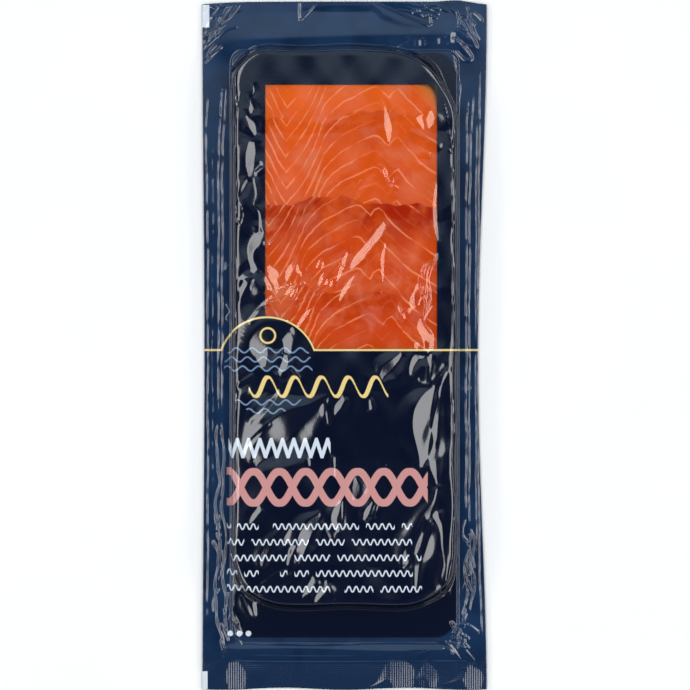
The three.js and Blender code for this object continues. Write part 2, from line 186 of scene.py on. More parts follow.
@dataclass(frozen=True)
class PackForm:
    """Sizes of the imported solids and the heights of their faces."""

    half_length: float = 160.0
    half_width: float = 66.0
    left_waist: float = 0.9  # how far each side is drawn in
    right_waist: float = 4.0
    waist_at: float = -6.0
    end_warp: float = 12.0  # this much of each end follows its wavy cut edge
    top_set_back: float = 0.6
    top_droop: float = 1.3
    bump: Roll = Roll(0.9, 52.0, 7.0)  # in the top edge
    ripple: float = 1.0  # of the bottom edge
    ripple_length: float = 9.0

    film: float = 0.35
    gap: float = 0.3
    board_thickness: float = 0.9
    salmon_thickness: float = 11.0
    board: Outline = Outline(-51.8, 51.8, -135.8, 135.8, (10, 10, 10, 10))
    salmon: Outline = Outline(-49.8, 49.8, -117, 133.6, (26, 26, 20, 40))
    card_cover: Outline = Outline(-51.8, 51.8, -135.8, 135.8, (5, 5, 5, 5))
    salmon_cover: Outline = Outline(-49.8, 49.8, -117, 133.6, (23, 23, 16, 33))
    window: Outline = Outline(-36.6, 42.6, -1.8, 119.9)

    slices: int = 7
    pitch: float = 40.0
    first_edge: float = 105.5
    run: float = 120.0
    lip: float = 0.9  # of the solids
    seen_lip: float = 0.3  # step that shows under the film
    butt: float = 0.4  # blunt hidden end of a slice
    rim: float = 1.5  # thickness of the pile at its outline
    shoulder: float = 8.5  # width of its rounded side
    fullness: float = 3.2  # how full that side is; 2 is a quarter circle
    wander: Run = (  # height, length, turn from slice to slice
        (2.2, 15.0, 1.9), (1.1, 6.5, 2.7), (0.55, 2.6, 1.3), (0.25, 1.1, 2.2),
    )
    wander_fade: Pair = (44.0, 52.0)
    wander_ends: Pair = (-106.0, 118.0)
    row_rounds: int = 24  # rounds that find the row through a point
    swell: Wave = Wave(-0.3, 0.3, 19, 27, 0.7, 0.0)  # of the pile's top
    lift: Wave = Wave(0.6, 0.4, 25, 29, 1.0, 0.4)  # of the flange

    standoff: float = 2.7  # the film comes down this far from the pile
    film_lift: float = 0.55
    card_ramp: float = 1.3  # the film climbs onto the card from here
    card_touch: float = 0.4  # to here
    curl: float = 0.9
    curl_width: float = 12.0
    pleat_at: float = 57.5  # outside this the rim is drawn in to the waist

    @property
    def board_top(self) -> float:
        """Top of the card."""
        return self.film + self.gap + self.board_thickness

    @property
    def salmon_bottom(self) -> float:
        """Underside of the pile."""
        return self.board_top + self.gap

    @property
    def bed_start(self) -> float:
        """Underside of a slice at its showing edge."""
        return self.salmon_bottom + self.salmon_thickness - self.lip - self.gap

    @property
    def slope(self) -> float:
        """Fall of a slice's bed for each millimetre towards its hidden end."""
        return (self.bed_start - self.salmon_bottom) / self.run

    def edge(self, k: int | Grid) -> float | Grid:
        """Place of slice k's lower edge along the pack."""
        return self.first_edge - k * self.pitch

    def edge_wander(self, x: Grid, k: int) -> Grid:
        """How the lower edge of slice k wanders from a straight line.

        Args:
            x: places across the pack.
            k: the slice, counted from the top.

        Returns:
            Its shift along the pack.
        """
        if k < 0 or k > self.slices - 2:
            return np.zeros_like(x)
        total = sum(height * np.sin(x / length + turn * k) for height, length, turn in self.wander)
        return total * (1 - smooth(np.abs(x), *self.wander_fade))

    def row_shift(self, x: Grid, v: Grid) -> Grid:
        """Shift along the pack that turns straight rows into the wandering slice edges.

        Args:
            x: places across the pack.
            v: the row.

        Returns:
            The shift at each point.
        """
        last = self.slices - 2
        edges = np.stack([self.edge_wander(x, k) for k in range(last + 1)])
        place = np.clip((self.first_edge - v) / self.pitch, 0, last)
        above = np.minimum(place.astype(int), last - 1)
        upper = np.take_along_axis(edges, above[None], 0)[0]
        lower = np.take_along_axis(edges, above[None] + 1, 0)[0]
        shift = upper + (lower - upper) * (place - above)
        low, high = self.wander_ends
        fade = np.where(v > self.first_edge, 1 - smooth(v, self.first_edge, high), 1.0)
        return shift * np.where(v < self.edge(last), smooth(v, low, self.edge(last)), fade)

    def row_at(self, x: Grid, y: Grid) -> Grid:
        """The row that passes through each point.

        Args:
            x, y: places across and along the pack.

        Returns:
            The row's own place, before its shift.
        """
        v = y.copy()
        for _ in range(self.row_rounds):
            v = y - self.row_shift(x, v)
        return v

    def rounding(self, depth: Grid, width: float | Grid) -> Grid:
        """Rounded rise from 0 at the rim to 1 where the shoulder of this width ends."""
        left = 1 - np.clip(depth / width, 0, 1)
        return (1 - left**self.fullness) ** (1 / self.fullness)

    def slice_top(self, x: Grid, y: Grid, v: Grid, k: int | Grid) -> Grid:
        """Top of slice k where it shows, and of the pile's rounded sides.

        Args:
            x, y: places across and along the pack.
            v: the row.
            k: the slice.

        Returns:
            Its height.
        """
        lip = self.seen_lip * (1 - np.clip((v - self.edge(k)) / self.pitch, 0, 1))
        rise = self.rounding(self.salmon.depth(x, y), self.shoulder)
        body = self.salmon_thickness - self.rim - self.lip
        return self.salmon_bottom + self.rim + (body + lip + self.swell.at(x, y)) * rise

    def slice_bed(self, x: Grid, y: Grid, k: int) -> Grid:
        """Underside of slice k.

        Args:
            x, y: places across and along the pack.
            k: the slice.

        Returns:
            Its height.
        """
        if k == self.slices - 1:
            return np.full_like(x, self.salmon_bottom)
        back = y - self.edge(k) - self.edge_wander(x, k)
        return np.maximum(self.salmon_bottom, self.bed_start - back * self.slope)

    def seam(self, x: Grid, y: Grid) -> Grid:
        """Height of the weld between the two films.

        Args:
            x, y: places across and along the pack.

        Returns:
            Its height.
        """
        outside = np.maximum(0, -self.board.depth(x, y))
        lifted = 1 - np.exp(-((outside / self.curl_width) ** 2))
        return self.film + self.gap / 2 + self.curl * self.lift.at(x, y) * lifted

    def plan(self, u: Grid, v: Grid) -> tuple[Grid, Grid]:
        """Plan place of a grid crossing: the rim is drawn in to the cut edge.

        Args:
            u: grid column.
            v: grid row.

        Returns:
            x and y.
        """
        waist = np.cos(np.pi * (v - self.waist_at) / (2 * self.half_length)) ** 2
        at_side = smooth(np.abs(u), self.pleat_at, self.half_width)
        x = u + at_side * np.where(u < 0, self.left_waist, -self.right_waist) * waist
        droop = self.top_set_back + self.top_droop * np.abs(u / self.half_width) ** 6
        ripple = self.ripple * (0.5 - 0.5 * np.cos(u / self.ripple_length))
        at_end = smooth(np.abs(v), self.half_length - self.end_warp, self.half_length)
        return x, v + at_end * np.where(v > 0, self.bump.over(u) - droop, ripple)


# ---- Folds and creases of the front film ---------------------------------------------------


class Side(Enum):
    """The way a facet of film faces."""

    LEFT = -1
    RIGHT = 1


@dataclass(frozen=True)
class Trace:
    """Where grid points lie along a drawn line: all arrays cover one patch of the grid."""

    patch: tuple[slice, slice]
    across: Grid  # signed distance, positive to the right of the pack
    beyond: Grid  # how far past either end
    along: Grid  # 0 at the first end, 1 at the last
    half: Grid  # half-width of the line there


def follow(run: Run, x: Grid, y: Grid, reach: float, step: float) -> Trace | None:
    """Measure a patch of the grid against a smooth line.

    Args:
        run: x, y and half-width at each point of the line.
        x: grid columns' places.
        y: grid rows' places.
        reach: how far from the line to measure.
        step: length of its straight steps.

    Returns:
        The measures, or None where the line misses the grid.
    """
    stops = np.array([[*point, 0.0][:3] for point in run], dtype=float)
    spine = spread_out(stops, step)
    patch = patch_round(spine, x, y, reach + PATCH_MARGIN)
    if patch is None:
        return None
    px, py = x[patch], y[patch]
    chord = stops[-1] - stops[0]
    turn = 1.0 if chord[1] > 0 or (chord[1] == 0 and chord[0] > 0) else -1.0
    best = np.full(px.shape, np.inf)
    across, beyond, along, half = (np.zeros_like(px) for _ in range(4))
    last = len(spine) - 2
    for i in range(last + 1):
        start, end = spine[i], spine[i + 1]
        dx, dy = end[0] - start[0], end[1] - start[1]
        length = math.hypot(dx, dy)
        if length == 0:
            continue
        ahead = ((px - start[0]) * dx + (py - start[1]) * dy) / length
        t = np.clip(ahead / length, 0, 1)
        gap = np.hypot(px - start[0] - t * dx, py - start[1] - t * dy)
        near = gap < best
        side = ((px - start[0]) * dy - (py - start[1]) * dx) / length
        best = np.where(near, gap, best)
        across = np.where(near, turn * side, across)
        over = np.zeros_like(px)
        if i == 0:
            over = np.maximum(over, -ahead)
        if i == last:
            over = np.maximum(over, ahead - length)
        beyond = np.where(near, over, beyond)
        along = np.where(near, (i + t) / (last + 1), along)
        half = np.where(near, start[2] + t * (end[2] - start[2]), half)
    return Trace(patch, across, beyond, along, half)


def patch_round(spine: Grid, x: Grid, y: Grid, reach: float) -> tuple[slice, slice] | None:
    """The part of the grid that holds a line.

    Args:
        spine: the line's points.
        x: grid columns' places.
        y: grid rows' places.
        reach: how much wider than the line the part is on every side.

    Returns:
        Its rows and columns, or None where the line misses the grid.
    """
    low, high = spine[:, :2].min(0) - reach, spine[:, :2].max(0) + reach
    rows = np.flatnonzero((y[:, 0] >= low[1]) & (y[:, 0] <= high[1]))
    columns = np.flatnonzero((x[0] >= low[0]) & (x[0] <= high[0]))
    if not len(rows) or not len(columns):
        return None
    return slice(rows[0], rows[-1] + 1), slice(columns[0], columns[-1] + 1)


def spread_out(stops: Grid, step: float) -> Grid:
    """Points closely spaced on a smooth curve through the stops.

    Args:
        stops: one row for each stop.
        step: distance between points.

    Returns:
        The curve, one row for each point.
    """
    padded = np.vstack([2 * stops[0] - stops[1], stops, 2 * stops[-1] - stops[-2]])
    points = []
    for before, start, end, after in zip(padded, padded[1:], padded[2:], padded[3:]):
        count = max(1, round(float(np.hypot(*(end - start)[:2])) / step))
        for t in np.arange(count) / count:
            bend = (
                2 * start
                + (end - before) * t
                + (2 * before - 5 * start + 4 * end - after) * t**2
                + (3 * start - before - 3 * end + after) * t**3
            )
            points.append(bend / 2)
    return np.array([*points, stops[-1]])


@dataclass(frozen=True)
class Flare:
    """A slack facet of film that leans to one side and so catches a soft light."""

    side: Side
    run: Run  # x, y, half-width
    slope: float = 0.15  # its lean
    comes_back: float = 3.2  # level again after this many half-widths
    margin: float = 0.8  # and this much more
    widen: float = 1.15  # the lean is this much wider than the light on it
    least: float = 0.3  # smallest half-width
    step: float = 0.8  # length of its straight steps

    def add_to(self, height: Grid, x: Grid, y: Grid) -> None:
        """Lean the film along this facet.

        Args:
            height: the film's height, changed in place.
            x, y: places across and along the pack.
        """
        widest = self.widen * max(point[2] for point in self.run)
        trace = follow(self.run, x, y, self.comes_back * widest + self.margin, self.step)
        if trace is None:
            return
        far = np.abs(trace.across)
        width = np.maximum(self.widen * trace.half, self.least)
        lean = self.slope * np.minimum(far, width)
        back = 1 - smooth(far, width, self.comes_back * width + self.margin)
        ends = 1 - smooth(trace.beyond, 0, width + self.margin)
        height[trace.patch] -= self.side.value * np.sign(trace.across) * lean * back * ends


@dataclass(frozen=True)
class Crease:
    """A thin raised crease."""

    run: Run  # x, y
    height: float = 0.18
    wander: float = 0.0  # how far it strays from its line
    steep: float = 0.58  # slope of the side that catches the light
    flat: float = 0.38  # and of the other
    taper: float = 0.06  # share of its length over which it rises
    strays: Pair = (7.1, 2.7)  # lengths of the waves in its wander
    swells: Pair = (5.3, 1.9)  # and in its height
    least: float = 0.5  # its lowest height, as a share
    turn: float = 3.7  # sets the waves of one crease apart from the next one's
    step: float = 0.6  # length of its straight steps

    def add_to(self, height: Grid, x: Grid, y: Grid) -> None:
        """Raise the film along this crease.

        Args:
            height: the film's height, changed in place.
            x, y: places across and along the pack.
        """
        reach = 2 * self.height / min(self.steep, self.flat) + 2 * self.wander
        trace = follow(self.run, x, y, reach, self.step)
        if trace is None:
            return
        py = y[trace.patch]
        lead = self.run[0][0] * self.turn
        slow, quick = (py / length for length in self.strays)
        stray = self.wander * (np.sin(slow + lead) + 0.5 * np.sin(quick + 2 * lead))
        lean = np.sign(self.run[0][0]) * (trace.across - stray)
        slow, quick = (np.sin(py / length + lead) for length in self.swells)
        swing = (1 - self.least) / 2
        uneven = 1 - swing + swing * slow * quick
        ends = smooth(np.minimum(trace.along, 1 - trace.along), -0.01, self.taper)
        peak = self.height * uneven * ends - trace.beyond * self.flat
        ridge = np.minimum(peak + lean * self.steep, peak - lean * self.flat)
        height[trace.patch] += np.maximum(ridge, 0)


@dataclass(frozen=True)
class Crumple:
    """A corner where the film is gathered into short sharp creases and small facets."""

    x: float
    y: float
    reach_x: float
    reach_y: float
    lines: int
    facets: int
    turn: float  # way the creases run, in degrees from the x axis
    spread: float  # how far they stray from it
    seed: int
    half: Pair = (2.0, 6.5)  # half-length of its creases
    kink: float = 0.25  # how far their middles stray, against their length
    heights: Pair = (0.24, 0.55)
    widths: Pair = (0.25, 0.6)  # half-width of its facets
    tip: float = 0.2  # and at their ends

    def add_to(self, height: Grid, x: Grid, y: Grid) -> None:
        """Crumple the film here.

        Args:
            height: the film's height, changed in place.
            x, y: places across and along the pack.
        """
        draw = np.random.default_rng(self.seed)
        for i in range(self.lines + self.facets):
            out, way = math.sqrt(draw.uniform(0, 1)), draw.uniform(0, math.tau)
            at_x = self.x + self.reach_x * out * math.cos(way)
            at_y = self.y + self.reach_y * out * math.sin(way)
            angle = math.radians(self.turn + draw.uniform(-self.spread, self.spread))
            half = draw.uniform(*self.half) + (0 if i < self.lines else self.half[0])
            step_x, step_y = half * math.cos(angle), half * math.sin(angle)
            kink = draw.uniform(-self.kink, self.kink)
            run = (
                (at_x - step_x, at_y - step_y),
                (at_x - kink * step_y, at_y + kink * step_x),
                (at_x + step_x, at_y + step_y),
            )
            if i < self.lines:
                Crease(run, height=draw.uniform(*self.heights)).add_to(height, x, y)
            else:
                side = Side.LEFT if draw.uniform() < 0.5 else Side.RIGHT
                halves = (self.tip, draw.uniform(*self.widths), self.tip)
                run = tuple((*point, width) for point, width in zip(run, halves))
                Flare(side, run).add_to(height, x, y)


Fold = Flare | Crease | Crumple

# Slack facets, grouped by the side they face and read as x, y and half-width along each.
RIGHT_FACETS: tuple[Run, ...] = (
    # beside the pile, left of the window
    ((-42.1, 119.5, 0.5), (-41.9, 117.2, 0.7), (-42.3, 115.3, 0.5)),
    ((-44, 114.4, 0.3), (-43.3, 111.6, 0.6), (-43, 108.8, 1.2), (-43.5, 106.5, 0.7)),
    ((-46.1, 107.9, 0.3), (-44.9, 104.6, 0.7), (-42.8, 101.4, 1.5), (-41.2, 97.6, 0.7)),
    ((-43, 92.5, 1.4), (-43.3, 88.3, 2.1), (-43.7, 83.2, 1.9), (-43.5, 78.1, 1.1)),
    ((-45.1, 75.8, 0.8), (-47.7, 71.1, 0.9), (-48.8, 68.8, 0.6)),
    ((-48.6, 30.3, 0.5), (-44.9, 32.6, 1.4), (-40.7, 33, 1.9), (-37.9, 29.8, 2.3), (-36.1, 25.6, 1.9)),
    # over the round panel and below it
    ((-26.8, 8.9, 1.9), (-33.7, 5.2, 4.6), (-39.3, 0, 4.2), (-38.4, -5.1, 2.8), (-37.5, -9.7, 1.2)),
    ((-24.4, -11.6, 0.5), (-22.1, -15.3, 0.6)),
    ((-8.6, -24.1, 0.5), (-15.1, -29.2, 1.9), (-21.7, -33.4, 3.7), (-28.2, -38.1, 5.1), (-33.7, -44.1, 4.6),
     (-38.4, -49.7, 3.3), (-41.2, -54.3, 1.4)),
    ((-34.7, -36.2, 0.4), (-40.2, -40.4, 0.5), (-44.4, -44.6, 0.5)),
    ((-9.1, -25.5, 0.4), (-8.6, -30.2, 0.6), (-7.7, -36.2, 0.4)),
    # down the right side of the label
    ((25.7, -4.6, 0.7), (23, -7.4, 1.4), (19.2, -11.1, 1.9), (16.9, -14.4, 1.1)),
    ((37.8, -2.7, 1.9), (33.2, -5.5, 1.4), (30.9, -9.7, 0.8), (30.4, -13, 0.5)),
    ((41.1, -19.9, 0.5), (38.3, -24.6, 2.1), (36, -30.6, 3.3), (35.5, -37.6, 3.5), (36.9, -44.6, 3.5),
     (36.4, -51.1, 1.9), (35.5, -55.3, 0.7)),
    ((46.7, -13, 0.4), (43.9, -20.9, 0.5), (43.2, -27.8, 0.8), (42, -35.7, 1.1), (40.6, -46.4, 1.6),
     (40.6, -54.3, 1.4), (42.5, -63.6, 0.5)),
    ((42.5, -66.4, 0.4), (41.1, -72, 0.6), (38.3, -77.1, 1.3), (35, -83.1, 1.6), (31.8, -91.5, 2.5),
     (29, -97.5, 2), (27.1, -102.7, 0.5)),
    ((40.2, -81.7, 1.2), (37.4, -87.8, 1.6), (35, -94.3, 1.9), (33.4, -100.8, 1.1), (32.7, -111.9, 0.5)),
    # over the lower label
    ((-26.8, -84.5, 0.7), (-30.9, -89.2, 1.2), (-35.6, -93.4, 1.3), (-37.9, -98, 1.3),
     (-38.4, -101.7, 0.7)),
    ((-11.4, -78, 0.7), (-14.7, -82.2, 2), (-17.9, -86.9, 2.3), (-19.8, -92.4, 2.1), (-21.2, -100.8, 0.5)),
    ((-1.7, -71.5, 0.4), (-4, -76.2, 1.1), (-4.9, -80.8, 1), (-3.1, -85, 0.6)),
    ((-20.7, -105.4, 0.5), (-27.2, -107.8, 0.7), (-33.7, -110.6, 0.7), (-40.2, -113.3, 0.7),
     (-48.1, -114.3, 0.5)),
    ((-25.4, -104, 0.4), (-30.9, -106.8, 0.7), (-37.5, -111, 0.6)),
    ((-47.2, -116.6, 0.6), (-45.4, -120.8, 1), (-42.6, -125.9, 0.7)),
    ((-4.7, -52, 0.6), (-4.5, -60.4, 0.4)),
    ((-16.5, -52, 0.6), (-16.1, -54.8, 0.5)),
    ((12.7, -72.4, 0.4), (10.4, -76.6, 1.2), (9, -80.3, 0.7)),
    ((15.5, -73.8, 0.4), (13.7, -78.5, 0.5)),
    # over the window
    ((17.8, 112.5, 0.4), (18.8, 108.8, 0.7), (19.5, 104.1, 1.4), (20.2, 99.5, 1.5), (20.6, 94.4, 0.5)),
    ((16.5, 83.2, 0.5), (19.2, 80.4, 0.6), (19.7, 76.3, 0.6), (21.1, 73.5, 0.7), (23, 76.7, 0.6)),
    ((18.8, 46.1, 0.4), (17.4, 40, 0.8), (17.6, 29.8, 0.4)),
    ((42.9, 40, 0.4), (38.8, 34.9, 0.5), (38.3, 28.4, 0.4), (36.9, 21, 0.5)),
    ((40.2, 17.7, 0.6), (36.4, 12.6, 1.1), (35.5, 8.4, 2), (38.3, 3.8, 2.5), (38.8, -1.8, 1.9)),
    ((-23, 27.5, 0.4), (-24.9, 22.8, 0.5), (-27.7, 20.5, 0.4)),
    ((42.2, 73.9, 0.5), (41.5, 64.6, 0.8), (42, 55.3, 0.9), (42.9, 48.8, 0.4)),
    ((-36.5, 30.3, 0.7), (-34.2, 27, 1), (-32.8, 24.7, 0.5)),
    # at both ends
    ((13.2, 159, 0.5), (18.5, 156, 1.3), (25, 153.2, 1.5), (31, 151.3, 1.2), (39.2, 148.5, 0.4)),
    ((50.4, 143.8, 1.0), (50.2, 141.4, 0.8)),
    ((24.5, 138.4, 0.4), (30, 141.2, 0.5)),
)
LEFT_FACETS: tuple[Run, ...] = (
    # beside the pile, left of the window
    ((-41.2, 80, 0.7), (-38.4, 82.3, 0.8)),
    ((-41.9, 76.7, 0.4), (-40.9, 69.3, 0.8), (-41.9, 64.6, 0.5), (-39.3, 60.9, 0.5), (-38.6, 52.6, 0.6)),
    ((-37.9, 50.7, 1.2), (-40.7, 48.4, 2.1), (-43, 44.7, 1.4), (-43.3, 40, 0.9), (-41.6, 34.4, 1.4)),
    ((-45.8, 28.4, 0.9), (-47.7, 24.7, 1), (-49.1, 21.4, 0.9)),
    ((-36.1, 21, 0.5), (-40.2, 15.8, 0.7), (-44, 11.2, 0.6)),
    # over the round panel and below it
    ((-27.2, -4.6, 0.7), (-27.7, -8.8, 1.4), (-30, -12.5, 1)),
    ((-44.9, -18.5, 0.5), (-46.7, -20.4, 1.2), (-49.5, -22.7, 0.9), (-50.9, -24.1, 0.4)),
    ((-43, -13.4, 0.5), (-46.7, -15.8, 0.4), (-50, -18.1, 0.4)),
    ((-30.5, -21.8, 0.6), (-33.7, -26, 1), (-38.4, -31.6, 1.2), (-43, -35.3, 0.8)),
    ((-0.7, -24.6, 1.1), (-3.1, -28.3, 1.4), (-4.5, -31.6, 0.5)),
    ((11.6, -25.5, 0.5), (12, -29.2, 0.7)),
    # down the right side of the label
    ((38.8, -5.1, 1.1), (39.5, -10.6, 0.6), (38.8, -16.7, 0.5)),
    ((34.6, -16.7, 0.5), (38.8, -17.6, 0.6), (42.9, -15.3, 0.5), (47.1, -10.2, 0.7)),
    ((42, -78.5, 1.2), (44.3, -84.1, 0.6), (45, -92.9, 0.5), (46, -100.8, 0.6), (45.5, -109.2, 1.1),
     (47.6, -115.7, 0.5)),
    # over the lower label
    ((-39.3, -75.7, 1), (-42.1, -79.4, 1), (-43.5, -81.7, 0.5)),
    ((-21.7, -92, 0.5), (-24.9, -94.8, 0.7), (-26.3, -100.8, 0.5)),
    ((-1.2, -72, 0.4), (-1, -84.1, 0.4)),
    ((-8.6, -82.7, 0.5), (-7.2, -86.9, 0.9), (-6.3, -90.1, 0.5)),
    ((-14.2, -108.7, 1.4), (-17, -112.9, 1.2), (-19.3, -115.7, 0.5)),
    ((-8.2, -110.6, 1.5), (-11.4, -114.7, 1.3), (-13.3, -118, 0.7)),
    ((-6.3, -116.6, 0.7), (-9.6, -119.4, 0.8), (-11.9, -120.8, 0.6)),
    ((-41.6, -120.3, 0.7), (-41.4, -124.5, 0.6)),
    ((4.8, -61.3, 0.7), (5.3, -66.4, 1.7), (3.9, -71.5, 0.7)),
    ((16.5, -53.4, 0.6), (19.2, -55.3, 0.6), (16, -58, 0.5)),
    # over the window
    ((39.7, 107.9, 0.7), (39.7, 104.1, 2), (38.8, 99.5, 0.9)),
    ((30.4, 97.6, 0.7), (33.6, 94.8, 1.5), (37.4, 92.5, 2), (42.5, 90.2, 1.4)),
    ((33.2, 86.5, 0.9), (36, 87.4, 1.4), (38.8, 86, 0.7)),
    ((12.5, 78.1, 0.7), (9.9, 74.4, 1.1), (6.7, 70.2, 0.9), (4.8, 67, 0.4)),
    ((18.3, 55.8, 1), (15.5, 51.2, 1.6), (10.9, 45.6, 1.6), (5.8, 39.5, 1.7), (0.7, 33, 0.7),
     (-3.5, 27.5, 0.4)),
    ((4.8, 33, 0.6), (2, 28.4, 1.1), (-0.3, 24.7, 1.1), (-2.1, 21.4, 0.5)),
    ((31.3, 27.5, 1), (28.1, 22.4, 1.7), (26.2, 17.2, 1.9), (27.6, 12.6, 0.7)),
    ((35.5, 26.1, 0.7), (34.1, 22.4, 1.5), (33.6, 17.2, 0.5)),
    ((41.5, 40, 0.4), (37.4, 34.9, 0.5), (35.7, 29.3, 0.6), (36.4, 21.9, 0.6)),
    ((-36.1, 20, 0.6), (-31.4, 23.3, 1.6), (-26.8, 25.6, 2), (-22.6, 27.9, 0.9)),
    ((-23.5, 38.2, 0.7), (-25.4, 34.4, 1.4), (-26.8, 30.7, 0.6)),
    ((-19.8, 29.3, 0.5), (-21.2, 25.6, 0.7), (-22.6, 21, 0.5)),
    ((-18.2, 34, 0.5), (-17.5, 31.2, 0.8), (-16.8, 28.9, 0.4)),
    ((-11.7, 39.1, 0.5), (-12.4, 36.3, 0.8), (-13.1, 34, 0.5)),
    ((-0.3, 43.3, 0.5), (-4.5, 38.6, 1), (-8.2, 34, 1.2), (-11, 29.8, 1), (-12.4, 26.1, 0.4)),
    ((-3.1, 35.8, 0.5), (-5.4, 32.1, 1), (-6.3, 27.9, 0.7)),
    ((-6.3, 27.5, 0.4), (-10.5, 25.1, 0.5), (-15.6, 21.9, 0.5), (-24.4, 16.8, 0.3)),
    ((-15.6, 16.8, 0.5), (-18.4, 13.5, 0.9), (-21.7, 8.9, 0.6)),
    ((-31.9, 50.2, 0.7), (-34.7, 47.4, 1.1), (-36.1, 45.6, 0.6)),
    # at both ends
    ((35, 141.3, 0.8), (35, 139.4, 0.8)),
    ((45.7, 142, 0.7), (45.9, 140.4, 0.7)),
)
# Thin creases, read as x and y along each one.
CREASES = (
    # down the left side
    Crease(((-63.9, 122), (-63.5, 114), (-64.4, 91), (-63.6, 60), (-63.4, -30),
            (-63.7, -133)), wander=0.15),
    Crease(((-61.3, 100), (-61.2, 20), (-61.0, -70)), height=0.1, wander=0.2),
    Crease(((-54.2, 125.5), (-55.1, 111.6), (-56.4, 97.6), (-56.7, 80), (-56.7, -34.8)), wander=0.18),
    Crease(((-56.0, 123.2), (-57.4, 110.2), (-58.4, 90.7), (-58.5, 20), (-58.4, -34.8)), wander=0.18),
    Crease(((-58.4, -34.8), (-59.3, -51.1), (-58.4, -62.7), (-59.8, -72), (-57.4, -90.6), (-60.2, -109.2),
            (-58.4, -127.7), (-56, -139.4)), height=0.3, wander=0.5),
    Crease(((-56.7, -34.8), (-56, -48.7), (-57, -72), (-54.2, -90.6), (-57, -104.5), (-55.1, -118.5),
            (-54.2, -137)), height=0.3, wander=0.5),
    Crease(((-53.3, 128.8), (-50.9, 117.6), (-51.4, 100), (-51.9, 80), (-51.9, -40),
            (-51, -128)), wander=0.25),
    Crease(((-44.9, 122.7), (-47.2, 118.5), (-49.1, 112), (-50, 104.6), (-51.2, 95.3), (-50.4, 80),
            (-50.4, -10), (-50.2, -100)), wander=0.3),
    Crease(((-50, 67.9), (-47.2, 64.6), (-46.3, 59.5), (-47.7, 55.3), (-49.5, 57.2), (-50.9, 61.9))),
    Crease(((-55.6, 37.4), (-53, 36.4), (-50.5, 36.8))),
    Crease(((-55.1, 38.4), (-55.3, 34.6))),
    Crease(((-55.1, 19.5), (-53.2, 15.6), (-54.8, 12.4), (-51.4, 9.3))),
    # down the right side
    Crease(((51.8, 143.6), (50.4, 134.8), (52.7, 123.2), (53.4, 119.5), (52.9, 109.2), (51.3, 90.7),
            (51.2, 30), (51.4, -20), (50.9, -100)), wander=0.3),
    Crease(((42.7, 117.1), (45.3, 113), (46.9, 106.9), (48, 96.7), (49.4, 90.7), (49.8, 60), (49.9, 0),
            (49.6, -60)), wander=0.25),
    Crease(((58.3, 116.2), (57.3, 109.2), (56.7, 90.7), (56.4, 20), (56.4, -60), (56.6, -80)), wander=0.2),
    Crease(((60.1, 120.9), (59.2, 100), (58.4, 90.7), (57.9, 20), (57.9, -70), (58.3, -84)), wander=0.2),
    Crease(((61.4, 112), (61.0, 60), (60.8, -10), (61.2, -100)), height=0.14, wander=0.15),
    Crease(((63.0, 134), (62.3, 70), (61.9, -10), (62.5, -90), (63.8, -140)), wander=0.15),
    Crease(((56.6, -80), (54.4, -88), (57.4, -94), (55.6, -104), (57.6, -116),
            (54, -126)), height=0.3, wander=0.4),
    Crease(((58.3, -84), (59.8, -92), (58.4, -100), (60.6, -112), (58, -124)), height=0.3, wander=0.4),
    Crease(((47.6, 90.4), (50, 88.2), (53.2, 88.8))),
    Crease(((53.4, -19.8), (56.2, -21), (58.8, -19.6))),
    Crease(((53, -87.6), (56, -89.4), (58.6, -88))),
    # over the window
    Crease(((-41.6, 14.9), (-32.3, 20), (-19.8, 21), (-13.8, 22.4), (-5.9, 27)), height=0.24),
    Crease(((42, 39.5), (36.4, 36.3), (35, 27), (37.4, 17.7), (36, 11.7), (40.6, 3.8)), height=0.3),
    Crease(((42.9, 42.8), (38.8, 31.6), (39.7, 22.4), (37.4, 16.3)), height=0.26),
    Crease(((17.8, 81.4), (20.2, 75.3), (24.8, 72.1)), height=0.26),
    Crease(((-31.5, 24.6), (-24, 28.2), (-21.4, 26.4), (-23.2, 21.6)), height=0.26),
    # at both ends
    Crease(((-20.7, 159.2), (-20.9, 154), (-20.5, 150.2)), height=0.34),
    Crease(((-20.5, 150.2), (-16.4, 154.6), (-12.8, 158.6)), height=0.26),
    Crease(((12.7, 159.2), (23.4, 154.8), (31.3, 151.1), (39.7, 147.8)), height=0.34),
    Crease(((39.7, 153.4), (39.9, 148.2)), height=0.3),
    Crease(((24, 155.8), (32, 154.6), (39.6, 153.2)), height=0.26),
    Crease(((-65.8, 130.6), (-61, 135), (-56.5, 138.4)), height=0.5),
    Crease(((50.8, 143.6), (56, 138), (59.2, 133.4), (56, 132.5), (51.3, 137)), height=0.46),
    Crease(((52.2, 148.3), (58.7, 143.6), (62, 137.6)), height=0.46),
    Crease(((56.9, 150.1), (58.3, 154.8), (61.5, 153.4), (64.3, 150.1)), height=0.46),
    Crease(((-63.5, -146.9), (-20, -147.2), (30, -147), (62.6, -146.7)), height=0.12),
    Crease(((-47, -143.8), (-10, -144.4), (26, -143.6), (40, -141.8)), height=0.24, wander=0.3),
    Crease(((-50, -138.4), (-14, -139.2), (20, -138.2), (46, -138.6)), height=0.3, wander=0.3),
)
CRUMPLES = (
    Crumple(-57, 151, 8, 8, lines=10, facets=4, turn=35, spread=35, seed=3),
    Crumple(-62, 140, 4, 6, lines=4, facets=1, turn=40, spread=20, seed=4),
    Crumple(56, 147, 8, 9, lines=6, facets=2, turn=125, spread=35, seed=8),
    Crumple(30, 156, 14, 3.4, lines=5, facets=2, turn=165, spread=20, seed=5),
    Crumple(52, -136, 8, 8, lines=8, facets=3, turn=120, spread=50, seed=12),
    Crumple(-53, -134, 5, 9, lines=6, facets=3, turn=100, spread=30, seed=21),
    Crumple(-57, -104, 3.5, 28, lines=6, facets=2, turn=95, spread=25, seed=27),
    Crumple(57, -108, 3.5, 22, lines=6, facets=2, turn=85, spread=30, seed=31),
)
